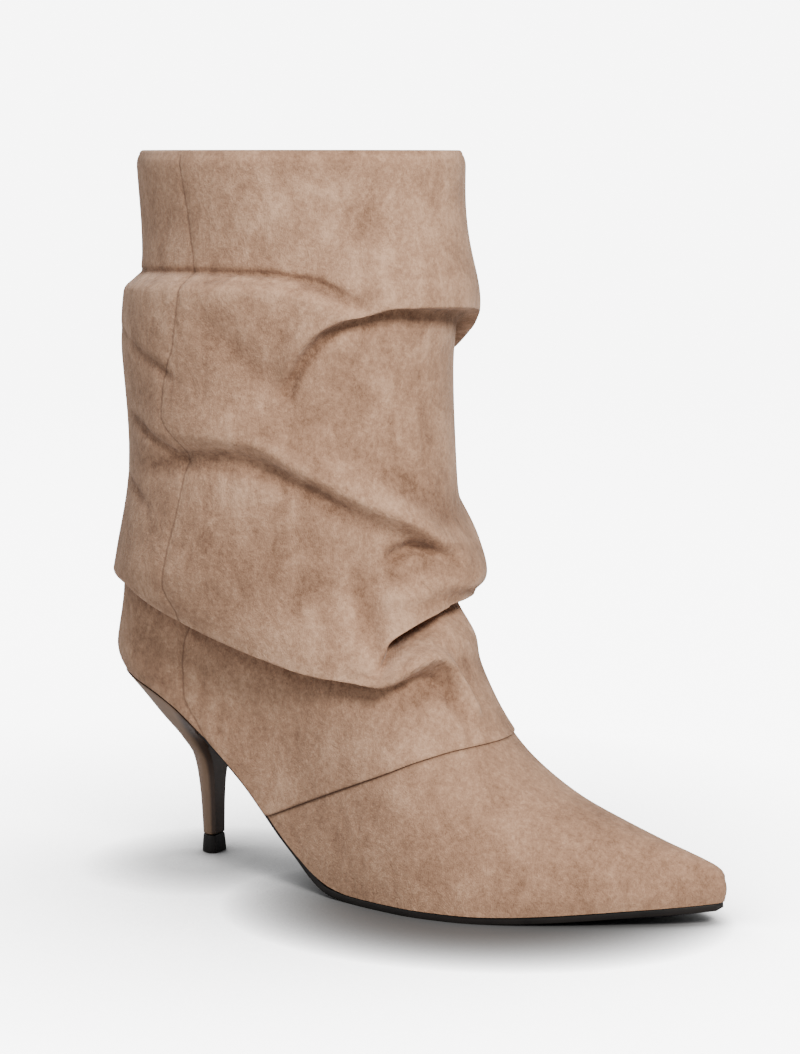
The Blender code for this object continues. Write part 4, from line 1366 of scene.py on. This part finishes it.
class BOOT_OT_heel(BootStep, Operator):
    """Builds the lacquered heel block and its black tip"""
    bl_idname = "boot.heel"
    bl_label = "Heel and tip"

    half_points = 26
    breast_points = 9
    stations = 46
    # Seat's inset at the back and sides, and its gap to the upper in shares of the gap
    back_inset = 1.8 * MM
    side_inset = 0.3 * MM
    seat_gap = 0.1
    # Breast's width in shares of the heel's along the stem, how late the sides draw in to it, and the
    # level from which it widens towards the seat
    breast_share = 0.62
    breast_bend = 4
    breast_flare = 0.72
    # Point of the outline at which the painted shade of the breast begins, and points over which it
    # comes
    breast_shade_start = 22
    breast_shade_fade = 2
    rounding = 0.5 * MM
    # Levels of the tip, and shares of its flare
    tip_levels = ((0.0, 1.0), (0.5, 0.6), (1.0, 0.0))
    tip_fullness = 2.0
    tip_rounding = 0.4 * MM

    def execute(self, context):
        form = Form(context.scene.boot_sizes)
        self.block(form)
        self.tip(form.size)
        return {"FINISHED"}

    def block(self, form):
        size = form.size
        stem_reach = size.stem_depth / 2
        stem_half = size.stem_width / 2
        seat_back = form.heel_back + self.back_inset
        seat_front = form.heel_back + BREAST_ALONG * size.shoe_length
        lateral, medial = form.sides(np.array([BREAST_ALONG]))
        seat_half = min(-lateral[0], medial[0]) - self.side_inset
        base = size.tip + size.gap
        rings = []
        for level in np.linspace(0.0, 1.0, self.stations):
            back, front, width, fullness = curves(HEEL_SECTIONS, level)
            flare = soft_step((level - self.breast_flare) / (1 - self.breast_flare))
            outline = self.outline(-stem_reach + (seat_back + stem_reach) * back,
                                   stem_reach + (seat_front - stem_reach) * front,
                                   stem_half + (seat_half - stem_half) * width, fullness,
                                   self.breast_share + (1 - self.breast_share) * flare)
            seat = form.bottom(form.along(outline[:, 0])) - size.gap * self.seat_gap
            rings.append(np.column_stack([outline, base + (seat - base) * level]))
        heel, order = laid_grid("heel_block", np.array(rings))
        # painted shade on the breast and the last points of the sides next to it
        side = np.clip((np.arange(self.half_points + 1) - self.breast_shade_start) / self.breast_shade_fade, 0, 1)
        painted_breast_shade = np.concatenate([side, np.ones(self.breast_points - 2), side[::-1]])
        mark(heel, order, "breast", np.tile(painted_breast_shade, (self.stations, 1)))
        self.finish(heel, self.rounding, "heel_lacquer", heel_finish(), "heel")

    def tip(self, size):
        rings = []
        for level, share in self.tip_levels:
            flare = size.tip_flare * share
            reach = size.stem_depth / 2 + flare
            outline = self.outline(-reach, reach, size.stem_width / 2 + flare, self.tip_fullness,
                                   self.breast_share)
            rings.append(np.column_stack([outline, np.full(len(outline), level * size.tip)]))
        tip, _ = laid_grid("heel_tip_black", np.array(rings))
        self.finish(tip, self.tip_rounding, "tip_rubber", grained_finish("tip_rubber"), "heel_tip")

    def finish(self, piece, rounding, slot, material, node_name):
        edit(piece, join_doubles, fill_ends, turn_out)
        round_edges(piece, rounding)
        smooth(piece, degrees=40)
        hand_over(piece, slot, material, node_name)

    def outline(self, back, front, half, fullness, breast_share):
        """D section, closed: round at the back, a flat breast at the front."""
        turn = np.linspace(0.0, math.pi / 2, self.half_points + 1)
        way = 1 - np.cos(turn)
        x = back + (front - back) * way
        drawn_in = 1 - (1 - breast_share) * way ** self.breast_bend
        y = half * (1 - (1 - way) ** fullness) ** 0.5 * drawn_in
        breast = np.linspace(-half, half, self.breast_points)[1:-1] * breast_share
        lateral = np.column_stack([x, -y])
        flat = np.column_stack([np.full(len(breast), front), breast])
        medial = np.column_stack([x, y])[::-1]
        return np.concatenate([lateral, flat, medial])


class BOOT_OT_studio(BootStep, Operator):
    """Sets up the pale floor, the soft lights, the backdrop colour and the camera"""
    bl_idname = "boot.studio"
    bl_label = "Studio"

    def execute(self, context):
        self.floor(context)
        self.world(context)
        self.lights(context)
        self.camera(context)
        return {"FINISHED"}

    def floor(self, context):
        deselect()
        bpy.ops.mesh.primitive_circle_add(vertices=96, radius=FLOOR_RADIUS, fill_type="NGON",
                                          location=FLOOR_MIDDLE)
        floor = context.object
        floor.name = "studio_floor"
        edit(floor, lambda: bpy.ops.mesh.inset(thickness=FLOOR_RIM),
             lambda: bpy.ops.mesh.select_all(action="INVERT"))
        material, tree, shader = material_of("floor_white", roughness=0.55,
                                             emission_color=(1.0, 1.0, 1.0, 1.0))
        where = object_place(tree)
        shade = self.shade(tree, where)
        seen = node(tree, "ShaderNodeLightPath").outputs["Is Camera Ray"]
        # painted shade: the glow the camera sees is dimmed near the boot, more where less open air is
        # around
        open_air = node(tree, "ShaderNodeAmbientOcclusion", {"Distance": OPEN_AIR_REACH},
                        samples=8).outputs["AO"]
        glow = product(tree, maths(tree, "POWER", open_air, OPEN_AIR_POWER), FLOOR_GLOW)
        glow = product(tree, seen, product(tree, glow, shade))
        tree.links.new(glow, shader.inputs["Emission Strength"])
        pale = context.scene.boot_colours.floor
        duller = tint([value * FLOOR_DULLNESS for value in pale])
        plain = mixed(tree, noise(tree, where, scale=3.0, detail=2.0), tint(pale), duller)
        dark = maths(tree, "SUBTRACT", 1.0, shade)
        tree.links.new(mixed(tree, dark, plain, tint(SHADOW_COLOUR)), shader.inputs["Base Color"])
        way = node(tree, "ShaderNodeVectorMath", {0: where}, operation="LENGTH").outputs["Value"]
        tree.links.new(ranged(tree, way, *FLOOR_FADE, 1.0, 0.0), shader.inputs["Alpha"])
        floor.data.materials.append(material)

    def shade(self, tree, where):
        """Light that the soft shadows leave on the floor."""
        shade = 1.0
        for middle, turn, reach, core in SHADOWS:
            there = node(tree, "ShaderNodeMapping", {
                "Vector": where, "Location": middle + (0.0,), "Rotation": (0.0, 0.0, turn),
                "Scale": reach + (1.0,)}, vector_type="TEXTURE").outputs["Vector"]
            away = node(tree, "ShaderNodeVectorMath", {0: there}, operation="LENGTH")
            share = ranged(tree, away.outputs["Value"], *SHADOW_FADE, 1.0, 0.0)
            shade = product(tree, maths(tree, "POWER", core, share), shade)
        return shade

    def world(self, context):
        world = bpy.data.worlds.new("studio_air")
        world.use_nodes = True
        tree = world.node_tree
        air = tree.nodes["Background"]
        air.inputs["Color"].default_value = AIR_COLOUR
        air.inputs["Strength"].default_value = AIR_LIGHT
        backdrop = node(tree, "ShaderNodeBackground", {
            "Color": BACKDROP_COLOUR, "Strength": BACKDROP_LIGHT})
        rays = node(tree, "ShaderNodeLightPath").outputs
        share = maths(tree, "MAXIMUM", product(tree, rays["Is Glossy Ray"], GLOSSY_SHARE),
                      rays["Is Camera Ray"])
        both = node(tree, "ShaderNodeMixShader", {
            0: share, 1: air.outputs[0], 2: backdrop.outputs[0]})
        tree.links.new(both.outputs[0], tree.nodes["World Output"].inputs["Surface"])
        context.scene.world = world

    def lights(self, context):
        for name, place, size, power, warmth in LIGHTS:
            deselect()
            bpy.ops.object.light_add(type="AREA", location=place)
            light = context.object
            light.name = name
            light.data.size = size
            light.data.energy = power
            light.data.color = warmth
            aim(light, LIGHT_TARGET)

    def camera(self, context):
        deselect()
        bpy.ops.object.camera_add(location=CAMERA_PLACE)
        camera = context.object
        camera.name = "photo_camera"
        camera.data.sensor_width = SENSOR
        camera.data.lens = CAMERA_LENS
        camera.data.clip_start = 0.05
        aim(camera, CAMERA_TARGET)
        context.scene.camera = camera


def aim(piece, target):
    """Turns a light or camera to look at a point, kept upright."""
    way = [target[place] - piece.location[place] for place in range(3)]
    pitch = math.atan2(way[2], math.hypot(way[0], way[1]))
    heading = math.atan2(way[1], way[0])
    piece.rotation_euler = (math.pi / 2 + pitch, 0.0, heading - math.pi / 2)


class BOOT_PT_panel(Panel):
    """Sizes, colours and steps of the boot"""
    bl_idname = "BOOT_PT_panel"
    bl_label = "Slouch Boot"
    bl_space_type = "VIEW_3D"
    bl_region_type = "UI"
    bl_category = "Boot"

    def draw(self, context):
        for title, holder in (("Sizes", context.scene.boot_sizes),
                              ("Colours", context.scene.boot_colours)):
            box = self.layout.box()
            box.label(text=title)
            for name in holder.__annotations__:
                box.prop(holder, name)
        for step in STEPS:
            self.layout.operator(step.bl_idname)


STEPS = (BOOT_OT_shaft, BOOT_OT_vamp, BOOT_OT_lining, BOOT_OT_soles, BOOT_OT_heel,
         BOOT_OT_studio)
CLASSES = (BootSizes, BootColours) + STEPS + (BOOT_PT_panel,)


def register():
    for kind in CLASSES:
        bpy.utils.register_class(kind)
    bpy.types.Scene.boot_sizes = PointerProperty(type=BootSizes)
    bpy.types.Scene.boot_colours = PointerProperty(type=BootColours)


def unregister():
    del bpy.types.Scene.boot_colours
    del bpy.types.Scene.boot_sizes
    for kind in reversed(CLASSES):
        bpy.utils.unregister_class(kind)


def main():
    register()
    bpy.ops.boot.shaft()
    bpy.ops.boot.vamp()
    bpy.ops.boot.lining()
    bpy.ops.boot.soles()
    bpy.ops.boot.heel()
    bpy.ops.boot.studio()


if __name__ == "__main__":
    main()
